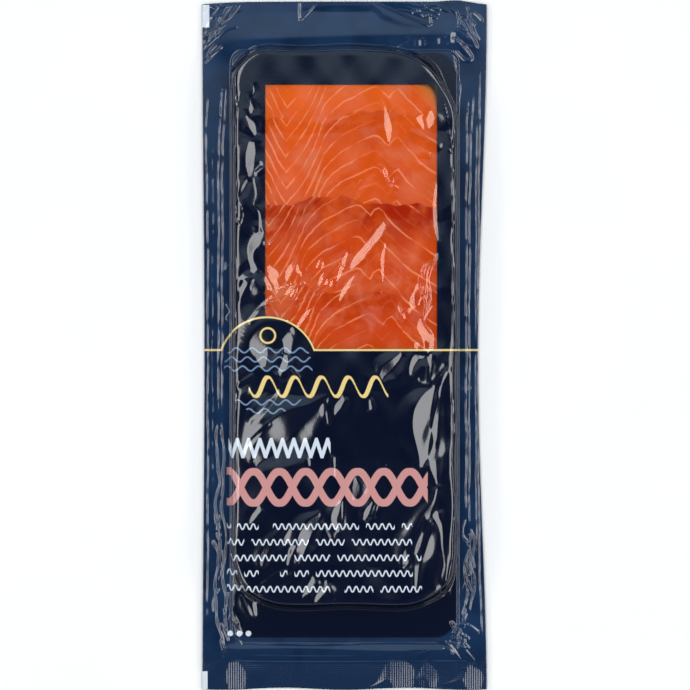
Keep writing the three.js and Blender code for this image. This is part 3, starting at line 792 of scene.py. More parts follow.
# Parts of the lower seal that lean enough for its knurling to sparkle.
SEAL_FLARES = (
    Flare(Side.LEFT, ((-51.5, -147.5, 2.2), (-50.5, -153, 4.2), (-50, -159, 3.4)), slope=0.062),
    Flare(Side.RIGHT, ((21.5, -146, 1.0), (26, -152, 5.5), (27.5, -159, 4.0)), slope=0.068),
    Flare(Side.RIGHT, ((38.5, -148, 0.8), (40.5, -153, 2.6), (41, -158, 1.6)), slope=0.08),
    Flare(Side.RIGHT, ((58, -150, 1.4), (59.5, -154, 4.2), (60, -159, 3.0)), slope=0.058),
)


# ---- Meshes --------------------------------------------------------------------------------


def lay(bm: bmesh.types.BMesh, x: Grid, y: Grid, z: Grid) -> None:
    """Put a grid's vertices where the arrays say.

    Args:
        bm: the mesh.
        x: across the pack, in millimetres.
        y: along the pack.
        z: up.
    """
    places = (np.stack([x, y, z], -1).reshape(-1, 3) * METRES).tolist()
    for vert, place in zip(bm.verts, places):
        vert.co = place


def slab(x: Grid, y: Grid, under: Grid, over: Grid) -> bmesh.types.BMesh:
    """A closed sheet between two heights over one grid.

    Args:
        x: across the pack.
        y: along the pack.
        under: height of the lower face.
        over: height of the upper face.

    Returns:
        The mesh.
    """
    bm = bmesh.new()
    crossing = bm.verts.layers.int.new(CROSSING)
    rows, columns = x.shape
    bmesh.ops.create_grid(bm, x_segments=columns - 1, y_segments=rows - 1, size=0.5)
    for number, vert in enumerate(bm.verts):
        vert[crossing] = number
    lay(bm, x, y, under)
    raised = bmesh.ops.extrude_face_region(bm, geom=bm.faces[:])["geom"]
    heights = (over.ravel() * METRES).tolist()
    for item in raised:
        if isinstance(item, bmesh.types.BMVert):
            item.co.z = heights[item[crossing]]
    bmesh.ops.recalc_face_normals(bm, faces=bm.faces[:])
    return bm


def finished(name: str, bm: bmesh.types.BMesh, nodes: Sequence[str]) -> Piece:
    """Turn a mesh into a piece of the pack that stands for CAD nodes.

    Args:
        name: the piece's name.
        bm: its mesh, freed here.
        nodes: the CAD nodes that it stands for.

    Returns:
        The object.
    """
    mesh = bpy.data.meshes.new(name)
    bm.to_mesh(mesh)
    bm.free()
    mesh.shade_smooth()
    piece = bpy.data.objects.new(name, mesh)
    bpy.context.scene.collection.objects.link(piece)
    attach(piece, BODY)
    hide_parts(*nodes)
    log.info("%s: %d faces", name, len(mesh.polygons))
    return piece


def dress(piece: Piece, material: bpy.types.Material) -> None:
    """Give a piece one material all over."""
    piece.data.materials.clear()
    piece.data.materials.append(material)


# ---- Sub-assemblies ------------------------------------------------------------------------


class Area(Enum):
    """The four fields of the front film, by the names of their pieces."""

    RIM = "sealed_rim"
    LABEL = "label_panel"
    SURROUND = "window_surround"
    WINDOW = "clear_window"


@dataclass
class FrontFilm:
    """The front film: one grid, cut into rim, label, window surround and window."""

    form: PackForm
    panel_x: float = 57.5  # the label and the surround reach this far from the middle
    panel_y: float = 139.0
    strip_at: float = 49.0  # outside this the film is creased and its grid finer
    fine: float = 0.27  # grid step there
    plain: float = 0.46  # and elsewhere
    ends: float = 0.33  # along both ends
    clear: float = 0.34  # over the window
    low: float = 0.53  # along the label
    clearance: float = 0.12  # above the slices
    standing: float = 0.5  # visible face above the solid's underside
    bridge: float = 9.0  # run over which the film comes down from a slice's edge
    tight: float = 3.6  # width of the pile's rounded side where the film is drawn tight
    loose: float = 4.8  # and where it is slack
    left_loose: Row = (-85.0, -60.0, 112.0, 126.0)  # slack stretch of the left side
    right_loose: Row = (-118.0, -104.0, -8.0, 10.0)  # and of the right side
    loose_from: Pair = (20.0, 34.0)  # distance from the middle where the slack starts
    slack: tuple[Wave, ...] = (
        Wave(0, 0.34, 13, 19, 0.4, 1.1),
        Wave(0, 0.2, 8.3, 14.5, 2.2, 0.3),
        Wave(0, 0.09, 4.1, 6.5, 1.2, 2.3),
        Wave(0, 0.1, 3.1, 4.7, 0.7, 1.9),
    )
    end_reach: float = 3.4  # how much further out the film comes down at both ends
    end_foot: float = 4.2  # width of the hollow at the foot there
    foot: float = 0.01  # and elsewhere
    end_fade: Pair = (-17.0, -2.0)  # outside the pile's end, the ends' own form fades in
    shoulder_slack: Wave = Wave(0, 0.6, 30, 7.5, 0.2, 0.5)
    wall_slack: Wave = Wave(0, 0.45, 6.8, 5.6, 1.3, 0.4)
    top_roll: Roll = Roll(0.95, 142.6, 6.4)  # above the card
    top_tilt: float = 0.02
    low_roll: Roll = Roll(0.5, -141.6, 2.4)  # below it
    low_sway: Pair = (0.6, 17.0)  # height and length of its wander
    dip: tuple[Roll, Roll] = (Roll(-0.25, 154.6, 1.6), Roll(1.0, -1.0, 14.0))  # along, across
    roll_fade: Pair = (38.0, 66.0)  # the rolls fade out towards the sides
    near: float = 0.1  # edges less than this outside the panel are the rim's inner edges
    seam_drop: float = 0.1  # the cut edge ends this far under the weld
    folds: tuple[Fold, ...] = (
        *(Flare(Side.RIGHT, run) for run in RIGHT_FACETS),
        *(Flare(Side.LEFT, run) for run in LEFT_FACETS),
        *CREASES, *CRUMPLES, *SEAL_FLARES,
    )
    x: Grid = field(init=False)
    y: Grid = field(init=False)
    z: Grid = field(init=False)
    columns: Grid = field(init=False)
    rows: Grid = field(init=False)

    def __post_init__(self) -> None:
        """Work out the whole film's surface."""
        window, side, strip = self.form.window, self.panel_x, self.strip_at
        wide, long = self.form.half_width, self.form.half_length
        fine, plain = self.fine, self.plain
        self.columns = spans(
            -wide, -side, -strip, window.left, window.right, strip, side, wide,
            step=(fine, fine, plain, self.clear, plain, fine, fine),
        )
        self.rows = spans(
            -long, -self.panel_y, window.bottom, window.top, self.panel_y, long,
            step=(self.ends, self.low, self.clear, plain, self.ends),
        )
        self.x, self.y = self.form.plan(*np.meshgrid(self.columns, self.rows))
        self.z = self.surface(self.x, self.y)

    def surface(self, x: Grid, y: Grid) -> Grid:
        """Height of the film with its folds.

        Args:
            x, y: places across and along the pack.

        Returns:
            The height of the visible face.
        """
        form = self.form
        v = form.row_at(x, y)
        middle = (form.salmon.top + form.salmon.bottom) / 2
        away = np.abs(y - middle) - (form.salmon.top - middle)
        at_end = smooth(away, *self.end_fade)
        inside = form.salmon_cover.depth(x, y) + form.standoff + self.wall_slack.at(x, y)
        inside = inside + self.end_reach * at_end
        width = self.shoulder_at(x, y) + self.shoulder_slack.at(x, y) + self.end_reach * at_end
        climb = form.rounding(inside, width) * smooth(inside, 0, self.foot + self.end_foot * at_end)
        flange = form.seam(x, y) + form.gap / 2 + self.end_rolls(x, y)
        on_card = smooth(form.card_cover.depth(x, y), -form.card_ramp, -form.card_touch)
        ground = flange + (form.board_top + form.gap - flange) * on_card
        k = np.clip(np.ceil((form.first_edge - v) / form.pitch), 0, form.slices - 1)
        up = np.clip((v - form.edge(k)) / form.pitch, 0, 1)
        from_above = form.edge(k - 1) - v
        bridge = np.where(k == 0, 0, 1 - smooth(from_above, 0, self.bridge))
        lip = form.seen_lip * np.maximum(1 - up, bridge)
        body = form.salmon_thickness - form.lip + form.film_lift
        height = ground + (body + lip + form.swell.at(x, y)) * climb + self.standing
        for wave in self.slack:
            height += wave.at(x, y) * climb
        folded = np.zeros_like(x)
        for fold in self.folds:
            fold.add_to(folded, x, y)
        on_pile = form.salmon.depth(x, y) > 0
        least = np.where(on_pile, form.slice_top(x, y, v, k), form.seam(x, y))
        return np.maximum(height + folded, least + self.clearance)

    def shoulder_at(self, x: Grid, y: Grid) -> Grid:
        """Width of the film's rounded side.

        Args:
            x, y: places across and along the pack.

        Returns:
            Its width.
        """
        slack = np.where(x < 0, between(y, *self.left_loose), between(y, *self.right_loose))
        slack = slack * smooth(np.abs(x), *self.loose_from)
        return self.tight + (self.loose - self.tight) * slack

    def end_rolls(self, x: Grid, y: Grid) -> Grid:
        """Soft rolls of loose film across both ends.

        Args:
            x, y: places across and along the pack.

        Returns:
            Their height.
        """
        sway, length = self.low_sway
        top = self.top_roll.over(y, self.top_tilt * x)
        low = self.low_roll.over(y, -sway * np.sin(x / length))
        dip = self.dip[0].over(y) * self.dip[1].over(x)
        return (1 - smooth(np.abs(x), *self.roll_fade)) * (top + low + dip)

    def part(self, area: Area, reach: Outline, hole: Outline | None) -> Piece:
        """One field of the film.

        Args:
            area: which field.
            reach: the rectangle on grid lines that it fills.
            hole: a rectangle on grid lines that is left out.

        Returns:
            The piece.
        """
        first, last = (int(np.argmin(np.abs(self.columns - at))) for at in (reach.left, reach.right))
        low, high = (int(np.argmin(np.abs(self.rows - at))) for at in (reach.bottom, reach.top))
        rows, columns = slice(low, high + 1), slice(first, last + 1)
        bm = bmesh.new()
        bmesh.ops.create_grid(bm, x_segments=last - first, y_segments=high - low, size=0.5)
        gone = []
        if hole is not None:
            u, v = np.meshgrid(self.columns[columns], self.rows[rows])
            lay(bm, u, v, np.zeros_like(u))
            gone = [f for f in bm.faces if hole.holds(f.calc_center_median() / METRES)]
        lay(bm, self.x[rows, columns], self.y[rows, columns], self.z[rows, columns])
        bmesh.ops.delete(bm, geom=gone, context="FACES")
        if area is Area.RIM:
            self.turn_down(bm)
        if area is Area.WINDOW:
            return finished(area.value, bm, ("window_film",))
        return finished(area.value, bm, ("printed_film",))

    def turn_down(self, bm: bmesh.types.BMesh) -> None:
        """Pull the cut edge of the film down onto the back sheet.

        Args:
            bm: the rim's mesh.
        """
        side, end = self.panel_x + self.near, self.panel_y + self.near
        panel = Outline(-side, side, -end, end)
        outer = [edge for edge in bm.edges if edge.is_boundary and not panel.holds(middle_of(edge))]
        made = bmesh.ops.extrude_edge_only(bm, edges=outer)["geom"]
        low = [item for item in made if isinstance(item, bmesh.types.BMVert)]
        x, y = (np.array([vert.co[axis] for vert in low]) / METRES for axis in (0, 1))
        for vert, height in zip(low, self.form.seam(x, y) - self.seam_drop):
            vert.co.z = float(height) * METRES
        bmesh.ops.recalc_face_normals(bm, faces=bm.faces[:])

    def build(self) -> dict[Area, Piece]:
        """Make the four fields.

        Returns:
            The pieces by field.
        """
        form, window = self.form, self.form.window
        side, end = self.panel_x, self.panel_y
        whole = Outline(-form.half_width, form.half_width, -form.half_length, form.half_length)
        fields = {
            Area.RIM: (whole, Outline(-side, side, -end, end)),
            Area.LABEL: (Outline(-side, side, -end, window.bottom), None),
            Area.SURROUND: (Outline(-side, side, window.bottom, end), window),
            Area.WINDOW: (window, None),
        }
        return {area: self.part(area, reach, hole) for area, (reach, hole) in fields.items()}


def middle_of(edge: bmesh.types.BMEdge) -> Any:
    """Middle of an edge, in millimetres."""
    return (edge.verts[0].co + edge.verts[1].co) / (2 * METRES)


@dataclass
class BackSheet:
    """The plain film under the card."""

    form: PackForm
    step: float = 2.0
    thickness: float = 0.18
    rise: float = 0.3  # towards the weld, outside the card
    rise_run: float = 6.0

    def build(self) -> Piece:
        """Make the sheet.

        Returns:
            The piece.
        """
        form = self.form
        u, v = np.meshgrid(
            spans(-form.half_width, -form.pleat_at, form.pleat_at, form.half_width, step=self.step),
            spans(-form.half_length, form.half_length, step=self.step),
        )
        x, y = form.plan(u, v)
        outside = smooth(-form.board.depth(x, y), 0, self.rise_run)
        under = form.seam(x, y) - form.film - form.gap / 2 + self.rise * outside
        under = np.maximum(under, 0)
        over = under + self.thickness
        return finished("back_sheet", slab(x, y, under, over), ("back_film",))


@dataclass(frozen=True)
class Flakes:
    """Fat lines between the flakes of muscle: one bent line, repeated along the slice."""

    pitch: float = 7.25
    reach: float = 52.0  # the line is drawn this far to either side
    span: float = 50.0  # height that holds the whole line
    line: Run = (  # height of the line above its lowest bend, from left to right
        (-52, 42), (-43.5, 29), (-36.5, 17.7), (-33.7, 12.5), (-30.5, 5.6), (-26.8, 0), (-22.6, 5.1),
        (-19.8, 8.8), (-17, 13.5), (-15.1, 17.2), (-13.3, 21.4), (-11.4, 26), (-10, 29.7),
        (-8.2, 32.5), (-4.5, 36.2), (-1.2, 39), (2.5, 40.9), (6.2, 42.8), (9.9, 44.6),
        (13.7, 46), (15.5, 45.5), (17.8, 43.2), (20.2, 40.9), (22, 43.7), (24.4, 45.1),
        (26.2, 43.2), (28.5, 40), (31.3, 37.2), (35, 33.5), (38.8, 30.7), (42.5, 28.3), (52, 22),
    )
    lowest: Row = (116.7, 94.1, 47.5, 12.0, -20, -60, -95)  # of each slice's lines
    aside: Row = (0.6, 0.0, -8.4, -3.0, 4.0, -6.0, 2.0)
    shade: Row = (0.0, 0.35, 0.95, 0.4, 0.6, 0.6, 0.3)  # painted shade: deeper red under the edge of the slice above, as its shadow
    groove: Roll = Roll(1.0, 0.0, 0.9)  # across a line

    def place(self, x: Grid, y: Grid, k: int) -> tuple[Grid, Grid]:
        """Coordinates, across and along, in which slice k's lines follow the one bent line."""
        return x - self.aside[k], y - self.lowest[k]

    def grooves(self, x: Grid, y: Grid) -> Grid:
        """Depth of the shallow groove along each fat line, from 0 to 1.

        Args:
            x: across, in the lines' own coordinates.
            y: along.

        Returns:
            The share of the full depth.
        """
        ends = np.array(self.line)
        away = (y - np.interp(x, ends[:, 0], ends[:, 1])) / self.pitch
        return self.groove.over(np.abs(away - np.round(away)) * self.pitch)


@dataclass
class SalmonPile:
    """Seven slices, each a leaf on its own bed."""

    form: PackForm
    columns: int = 185
    showing_step: float = 0.5
    hidden_step: float = 4.0
    seen: int = 4  # slices that the window can show
    hidden_coarser: int = 3  # the grid of the others is so much coarser
    probes: int = 997  # points across the pile that find where a slice ends
    relief: float = 0.04
    least: float = 0.05  # thinnest edge
    feather: float = 1.3  # run over which an edge thins out
    contact: float = 0.06  # between two slices
    margin: float = 2.0  # fine grid beyond the next slice's edge
    sharp: float = 50.0  # degrees
    shadow_from: float = 0.35  # share of the pitch where the painted shade of the slice above starts to deepen the red
    pale_to: float = 0.4  # and up to which the edge is paler
    flakes: Flakes = Flakes()

    def limits(self, v: Grid, k: int) -> tuple[Grid, Grid, Grid]:
        """Left and right ends of each row of slice k that has any thickness.

        Args:
            v: the rows.
            k: the slice.

        Returns:
            Those rows, their left ends and their right ends.
        """
        form = self.form
        probe = np.linspace(form.salmon.left, form.salmon.right, self.probes)
        x, rows = np.meshgrid(probe, v)
        y = rows + form.row_shift(x, rows)
        thick = form.slice_top(x, y, rows, k) - form.slice_bed(x, y, k)
        good = (thick > self.least) & (form.salmon.depth(x, rows) > -self.least)
        thickened = good.any(1)
        good = good[thickened]
        left = probe[np.argmax(good, 1)]
        right = probe[len(probe) - 1 - np.argmax(good[:, ::-1], 1)]
        return v[thickened], left, right

    def starts(self, k: int) -> float:
        """Row of slice k's lower edge."""
        return self.form.salmon.bottom if k == self.form.slices - 1 else float(self.form.edge(k))

    def covered(self, k: int) -> float:
        """Row where the slice above starts to cover slice k."""
        return self.form.salmon.top if k == 0 else float(self.form.edge(k - 1))

    def grid(self, k: int) -> tuple[Grid, Grid]:
        """Grid of slice k, from its lower edge to its hidden end.

        Args:
            k: the slice.

        Returns:
            Across and row of each crossing.
        """
        form = self.form
        butt = self.covered(k) + form.run - (form.gap + form.butt) / form.slope
        high = min(form.salmon.top, butt)
        coarser = 1 if k < self.seen else self.hidden_coarser
        turn = min(self.covered(k) + self.margin, high)
        stops = (self.starts(k), turn, high) if high > turn else (self.starts(k), high)
        steps = (coarser * self.showing_step, self.hidden_step)
        v, left, right = self.limits(spans(*stops, step=steps[: len(stops) - 1]), k)
        share = np.linspace(0, 1, self.columns // coarser)
        x = left[:, None] + (right - left)[:, None] * share[None]
        return x, np.repeat(v[:, None], x.shape[1], 1)

    def leaf(self, k: int) -> Piece:
        """Make slice k.

        Args:
            k: the slice, counted from the top.

        Returns:
            The piece.
        """
        form, low, covered = self.form, self.starts(k), self.covered(k)
        x, rows = self.grid(k)
        y = rows + form.row_shift(x, rows)
        bed = form.slice_bed(x, y, k)
        top = form.slice_top(x, y, rows, k)
        if k > 0:
            top = np.minimum(top, form.slice_bed(x, y, k - 1) - self.contact)
        flake_x, flake_y = self.flakes.place(x, y, k)
        showing = 1 - smooth(rows, covered - 1, covered + 1)
        top = top - self.relief * self.flakes.grooves(flake_x, flake_y) * showing
        feathered = bed + self.least
        if k < form.slices - 1:
            top = feathered + (top - feathered) * smooth(rows, low, low + self.feather)
        top = np.maximum(top, feathered)
        name = f"salmon_slice_{k + 1}"
        piece = finished(f"slice_{k + 1}", slab(x, y, bed, top), (name,))
        piece.data.set_sharp_from_angle(angle=math.radians(self.sharp))
        # painted shade: deeper red towards the slice above, as its shadow; paler by the thick lower edge
        up = smooth(rows, low + self.shadow_from * form.pitch, covered)
        down = 1 - smooth(rows, low, low + self.pale_to * form.pitch)
        self.mark(piece, flake_x, flake_y, self.flakes.shade[k] * up - down)
        return piece

    def mark(self, piece: Piece, flake_x: Grid, flake_y: Grid, shade: Grid) -> None:
        """Write on a slice's vertices where they lie among its fat lines.

        Args:
            piece: the slice.
            flake_x: across, in the lines' own coordinates.
            flake_y: along.
            shade: above 0 where painted shade makes the flesh deeper red, below 0 where it is paler.
        """
        along = np.stack([flake_x, flake_y, shade], -1).reshape(-1, 3).astype(np.float32)
        crossing = np.empty(len(piece.data.vertices), dtype=np.int32)
        piece.data.attributes[CROSSING].data.foreach_get("value", crossing)
        store = piece.data.attributes.new(FLAKE, "FLOAT_VECTOR", "POINT")
        store.data.foreach_set("vector", along[crossing].ravel())

    def build(self) -> list[Piece]:
        """Make all slices, top slice first."""
        return [self.leaf(k) for k in range(self.form.slices)]


# ---- Finishes ------------------------------------------------------------------------------


@dataclass(frozen=True)
class Patches:
    """Soft uneven patches of a cloud."""

    size: float  # in millimetres
    detail: float  # how ragged they are
    edge: Pair  # levels of the cloud where they start and where they are full
    strength: Pair = (0.0, 1.0)  # the mask outside and inside them


class NodeWork:
    """A node tree under way."""

    def __init__(self, tree: bpy.types.NodeTree, end: str) -> None:
        """Start an empty tree with an output of this kind."""
        self.tree = tree
        self.tree.nodes.clear()
        self.end = self.tree.nodes.new("ShaderNode" + end)

    def add(
        self, kind: str, inputs: Mapping[int | str, Any] | Sequence[Any] = (),
        out: int | str = 0, **settings: Any,
    ) -> Socket:
        """Add a node with its settings and links.

        Args:
            kind: the node's type, without its prefix, and its operation if it has one.
            inputs: a value or a socket for each input, by name, by number or in order.
            out: the output wanted.
            **settings: the node's own properties.

        Returns:
            The output socket.
        """
        kind, _, operation = kind.partition(" ")
        node = self.tree.nodes.new("ShaderNode" + kind)
        if operation:
            node.operation = operation
        for name, value in settings.items():
            setattr(node, name, value)
        pairs = inputs.items() if isinstance(inputs, Mapping) else enumerate(inputs)
        for key, value in pairs:
            if isinstance(value, Socket):
                self.tree.links.new(value, node.inputs[key])
            else:
                node.inputs[key].default_value = value
        return node.outputs[out]

    def show(self, shader: Socket) -> None:
        """Let the surface, or the room, show this shader."""
        self.tree.links.new(shader, self.end.inputs["Surface"])


class Finish(NodeWork):
    """A material under way, whose patterns have their real size."""

    def __init__(self, name: str) -> None:
        """Start an empty material, with the place on the piece in millimetres."""
        self.material = bpy.data.materials.new(name)
        self.material.use_nodes = True
        super().__init__(self.material.node_tree, "OutputMaterial")
        place = self.add("TexCoord", out="Object")
        self.place = self.add("VectorMath SCALE", {0: place, "Scale": 1 / METRES})
        self.x, self.y = (self.add("SeparateXYZ", [self.place], out=axis) for axis in "XY")

    def made(self, shader: Socket) -> bpy.types.Material:
        """Finish the material with this shader."""
        self.show(shader)
        return self.material

    def patches(self, cloud: Patches, **more: Any) -> Socket:
        """Mask of soft uneven patches; more names further inputs of their cloud."""
        inputs = {"Vector": self.place, "Scale": 1 / cloud.size, "Detail": cloud.detail, **more}
        return self.add("MapRange", [self.add("TexNoise", inputs), *cloud.edge, *cloud.strength])

    def ink(self, below: Any, colour: Any, mask: Socket) -> Socket:
        """Lay a colour over another where the mask is 1."""
        return self.add("Mix", {0: mask, 6: below, 7: colour}, out=2, data_type="RGBA")

    def within(self, distance: Socket, limit: float, soft: float = 0.12) -> Socket:
        """1 where a distance is under a limit, with an edge twice this soft."""
        return self.add("MapRange", [distance, limit - soft, limit + soft, 1.0, 0.0])

    def both(self, first: Any, second: Any) -> Socket:
        """Where both masks hold."""
        return self.add("Math MULTIPLY", [first, second])

    def either(self, first: Any, second: Any) -> Socket:
        """Where one or both masks hold."""
        return self.add("Math MAXIMUM", [first, second])

    def beyond(self, mask: Socket) -> Socket:
        """Where the mask doesn't hold."""
        return self.add("Math SUBTRACT", [1.0, mask])

    def apart(self, first: Any, second: Any) -> Socket:
        """Distance between two heights."""
        return self.add("Math ABSOLUTE", [self.add("Math SUBTRACT", [first, second])])

    def square_on(self, away: Socket, slope: Socket) -> Socket:
        """Distance to a sloping line, from the height above it."""
        steep = self.add("Math MULTIPLY_ADD", [slope, slope, 1.0])
        return self.add("Math DIVIDE", [away, self.add("Math SQRT", [steep])])

    def far(self, centre: Place) -> Socket:
        """Distance from a centre, seen from above."""
        flat = self.add("VectorMath MULTIPLY", [self.place, (1, 1, 0)])
        return self.add("VectorMath DISTANCE", [flat, centre], out="Value")

    def box(self, x: float, y: float, half_x: float, half_y: float) -> Socket:
        """Mask of a rectangle.

        Args:
            x: its middle, across.
            y: its middle, along.
            half_x: half its width.
            half_y: half its length.

        Returns:
            The mask.
        """
        away = self.add("VectorMath SUBTRACT", [self.place, (x, y, 0)])
        return self.within(self.outside(away, (half_x, half_y, 0)), 0.1, 0.1)

    def outside(self, away: Socket, half: Place) -> Socket:
        """Distance outside a rectangle of this half size, from its middle."""
        away = self.add("VectorMath ABSOLUTE", [away])
        away = self.add("VectorMath SUBTRACT", [away, half])
        away = self.add("VectorMath MULTIPLY", [away, (1, 1, 0)])
        away = self.add("VectorMath MAXIMUM", [away, (0, 0, 0)])
        return self.add("VectorMath LENGTH", [away], out="Value")


class Motif(Enum):
    """Shapes that can be printed on a field of the front film."""

    SEA = "thin waves in the round panel"
    SUN = "ring over the waves"
    GOLD_LINE = "line across the pack, with its arch"
    SWASH = "gold wave"
    CHEVRONS = "row of chevrons"
    BRAID = "two crossing strands"
    RIPPLES = "rows of short marks"
    SPOTS = "three spots"
    BARS = "pale bars at the cut edge"


@dataclass(frozen=True)
class Swing:
    """A line that swings up and down across the pack."""

    middle: float  # along the pack
    height: float
    length: float  # one whole wave
    half: float  # half its thickness
    swell: float = 0.0  # how much thicker it is where it climbs


@dataclass(frozen=True)
class Print:
    """Inks of the front film and sizes of its simple shapes; a box has its middle and half sizes."""

    margin: str = "173050"
    margin_deep: str = "0D223F"
    panel: str = "060D22"
    gold: str = "E2C983"
    ring: str = "6C85A3"
    pale: str = "CCD5DF"
    pink: str = "C48C89"
    bar: str = "CFD6DE"
    dark: Patches = Patches(17, 2.0, (0.4, 0.68))  # patches of the deep ink in the margin
    seal_shade: Row = (-146.0, -132.0, 0.75, 0.0)  # it is darker by the lower seal
    panel_half: Place = (41.6, 125.6, 0.0)  # less its corner radius
    panel_radius: float = 10.2
    panel_soft: float = 0.5  # half the width of its soft edge
    line_at: float = -2.28
    line_half: float = 0.45
    arch: Place = (-35.6, -10.2, 0.0)
    arch_radius: float = 23.05
    sea: Swing = Swing(0.0, 1.1, 7.4, 0.36)
    sea_rows: Row = (-2.4, -6.6, -10.8, -26.4, -30.4)
    sea_lead: float = 1.9  # turn from one row to the next
    sea_centre: Place = (-35.4, -11.6, 0.0)
    sea_radius: float = 20.6
    sun: Place = (-35.4, 4.4, 0.0)
    sun_radius: float = 3.4
    swash: Swing = Swing(-19.2, 4.4, 12.4, 0.7, swell=0.4)
    swash_lead: float = 0.5
    swash_box: Row = (-12, -19.2, 32, 7)
    chevron_half: float = 2.6  # half its width, and half its thickness up the pack
    chevron_slope: float = 3.0
    chevron_foot: float = -51.4
    chevron_box: Row = (-30.2, -47.4, 23.6, 4.6)
    braid: Swing = Swing(-65.5, 7.2, 24.0, 1.7)
    braid_box: Row = (-8.2, -65.5, 46.4, 10)
    ripple: Swing = Swing(0.0, 1.15, 3.3, 0.33)
    ripple_pitch: float = 7.22  # from row to row
    ripple_first: float = -83.6
    ripple_gaps: float = 0.2  # share of the marks left out
    ripple_draw: float = 3.0  # chance number that sets where the rows end
    ripple_end: Pair = (12.0, 26.0)  # how much longer some rows are, and where the shortest ends
    ripple_box: Row = (-7.5, -98, 47, 18.2)
    bars: Run = ((-64.4, 152.7, 1.5, 5.1), (-65.4, -156.2, 1.7, 4.7))
    spots: tuple[Place, ...] = tuple((-53 + 4.2 * i, -133.8, 0) for i in range(3))
    spot_radius: float = 1.3


class PrintedFinish(Finish):
    """A finish that carries print: each motif is a mask, and its ink a flat colour."""

    def __init__(self, name: str, sizes: Print) -> None:
        """Start a printed material."""
        super().__init__(name)
        self.sizes = sizes

    def ground(self) -> Socket:
        """Navy margin round a near-black panel with rounded corners.

        Returns:
            The colour.
        """
        sizes = self.sizes
        low = self.add("MapRange", [self.y, *sizes.seal_shade])
        shade = self.either(self.patches(sizes.dark), low)
        margin = self.ink(linear(sizes.margin), linear(sizes.margin_deep), shade)
        away = self.outside(self.place, sizes.panel_half)
        inside = self.within(away, sizes.panel_radius, sizes.panel_soft)
        return self.ink(margin, linear(sizes.panel), inside)

    def gold_line(self) -> Socket:
        """Mask of the line across the pack and its arch over the round panel.

        Returns:
            The mask.
        """
        sizes = self.sizes
        from_centre = self.far(sizes.arch)
        rim = self.within(self.apart(from_centre, sizes.arch_radius), sizes.line_half)
        above = self.beyond(self.within(self.y, sizes.line_at - sizes.line_half))
        level = self.within(self.apart(self.y, sizes.line_at), sizes.line_half)
        outside = self.beyond(self.within(from_centre, sizes.arch_radius))
        return self.either(self.both(rim, above), self.both(level, outside))

    def swing_line(
        self, line: Swing, lead: Socket | float = 0.0, along: Socket | None = None
    ) -> Socket:
        """Mask of a line that swings up and down across the pack.

        Args:
            line: its sizes.
            lead: where the wave starts, in radians.
            along: height at which to read it, if it isn't the place along the pack.

        Returns:
            The mask.
        """
        pace = math.tau / line.length
        turn = self.add("Math MULTIPLY_ADD", [self.x, pace, lead])
        swing = self.add("Math SINE", [turn])
        level = self.add("Math MULTIPLY_ADD", [swing, line.height, line.middle])
        away = self.apart(self.y if along is None else along, level)
        climb = self.add("Math COSINE", [turn])
        slope = self.add("Math MULTIPLY", [climb, line.height * pace])
        away = self.square_on(away, slope)
        away = self.add("Math MULTIPLY_ADD", [climb, -line.swell, away])
        return self.within(away, line.half)

    def sea(self) -> Socket:
        """Mask of thin waves that fill the round panel.

        Returns:
            The mask.
        """
        sizes, mask = self.sizes, 0.0
        for i, level in enumerate(sizes.sea_rows):
            row = replace(sizes.sea, middle=level)
            mask = self.either(mask, self.swing_line(row, sizes.sea_lead * i))
        return self.both(mask, self.within(self.far(sizes.sea_centre), sizes.sea_radius))

    def sun(self) -> Socket:
        """Mask of a thin ring that stands for a sun over the waves."""
        rim = self.apart(self.far(self.sizes.sun), self.sizes.sun_radius)
        return self.within(rim, self.sizes.line_half)

    def swash(self) -> Socket:
        """Mask of the gold wave with thick and thin strokes."""
        wave = self.swing_line(self.sizes.swash, self.sizes.swash_lead)
        return self.both(wave, self.box(*self.sizes.swash_box))

    def chevrons(self) -> Socket:
        """Mask of a row of chevrons.

        Returns:
            The mask.
        """
        sizes = self.sizes
        fold = self.add("Math PINGPONG", [self.x, sizes.chevron_half])
        level = self.add("Math MULTIPLY_ADD", [fold, sizes.chevron_slope, sizes.chevron_foot])
        row = self.within(self.apart(self.y, level), sizes.chevron_half)
        return self.both(row, self.box(*sizes.chevron_box))

    def braid(self) -> Socket:
        """Mask of two broad strands that cross over and over."""
        strands = [self.swing_line(self.sizes.braid, lead) for lead in (0.0, math.pi)]
        return self.both(self.either(*strands), self.box(*self.sizes.braid_box))

    def ripples(self) -> Socket:
        """Mask of five rows of short ripple marks with gaps of uneven length.

        Returns:
            The mask.
        """
        sizes = self.sizes
        pitch, first = sizes.ripple_pitch, sizes.ripple_first
        row = self.add("Math MULTIPLY_ADD", [self.y, -1 / pitch, first / pitch])
        number = self.add("Math ROUND", [row])
        middle = self.add("Math MULTIPLY_ADD", [number, -pitch, first])
        up = self.add("Math SUBTRACT", [self.y, middle])
        mark = self.swing_line(sizes.ripple, number, up)
        cell = self.add("Math MULTIPLY", [self.x, 1 / sizes.ripple.length])
        cell = self.add("Math FLOOR", [cell])
        draw = self.drawn(cell, number)
        mark = self.both(mark, self.add("Math GREATER_THAN", [draw, sizes.ripple_gaps]))
        ragged = self.drawn(number, sizes.ripple_draw)
        end = self.add("Math MULTIPLY_ADD", [ragged, *sizes.ripple_end])
        mark = self.both(mark, self.add("Math LESS_THAN", [self.x, end]))
        return self.both(mark, self.box(*sizes.ripple_box))

    def drawn(self, first: Any, second: Any) -> Socket:
        """A chance number from 0 to 1 for each pair of numbers."""
        key = self.add("CombineXYZ", [first, second, 0.0])
        return self.add("TexWhiteNoise", [key], noise_dimensions="2D")

    def bars(self) -> Socket:
        """Mask of the pale bars at the cut edge."""
        return self.either(*(self.box(*bar) for bar in self.sizes.bars))

    def spots(self) -> Socket:
        """Mask of small spots near the lower corner.

        Returns:
            The mask.
        """
        mask = 0.0
        for spot in self.sizes.spots:
            mask = self.either(mask, self.within(self.far(spot), self.sizes.spot_radius))
        return mask

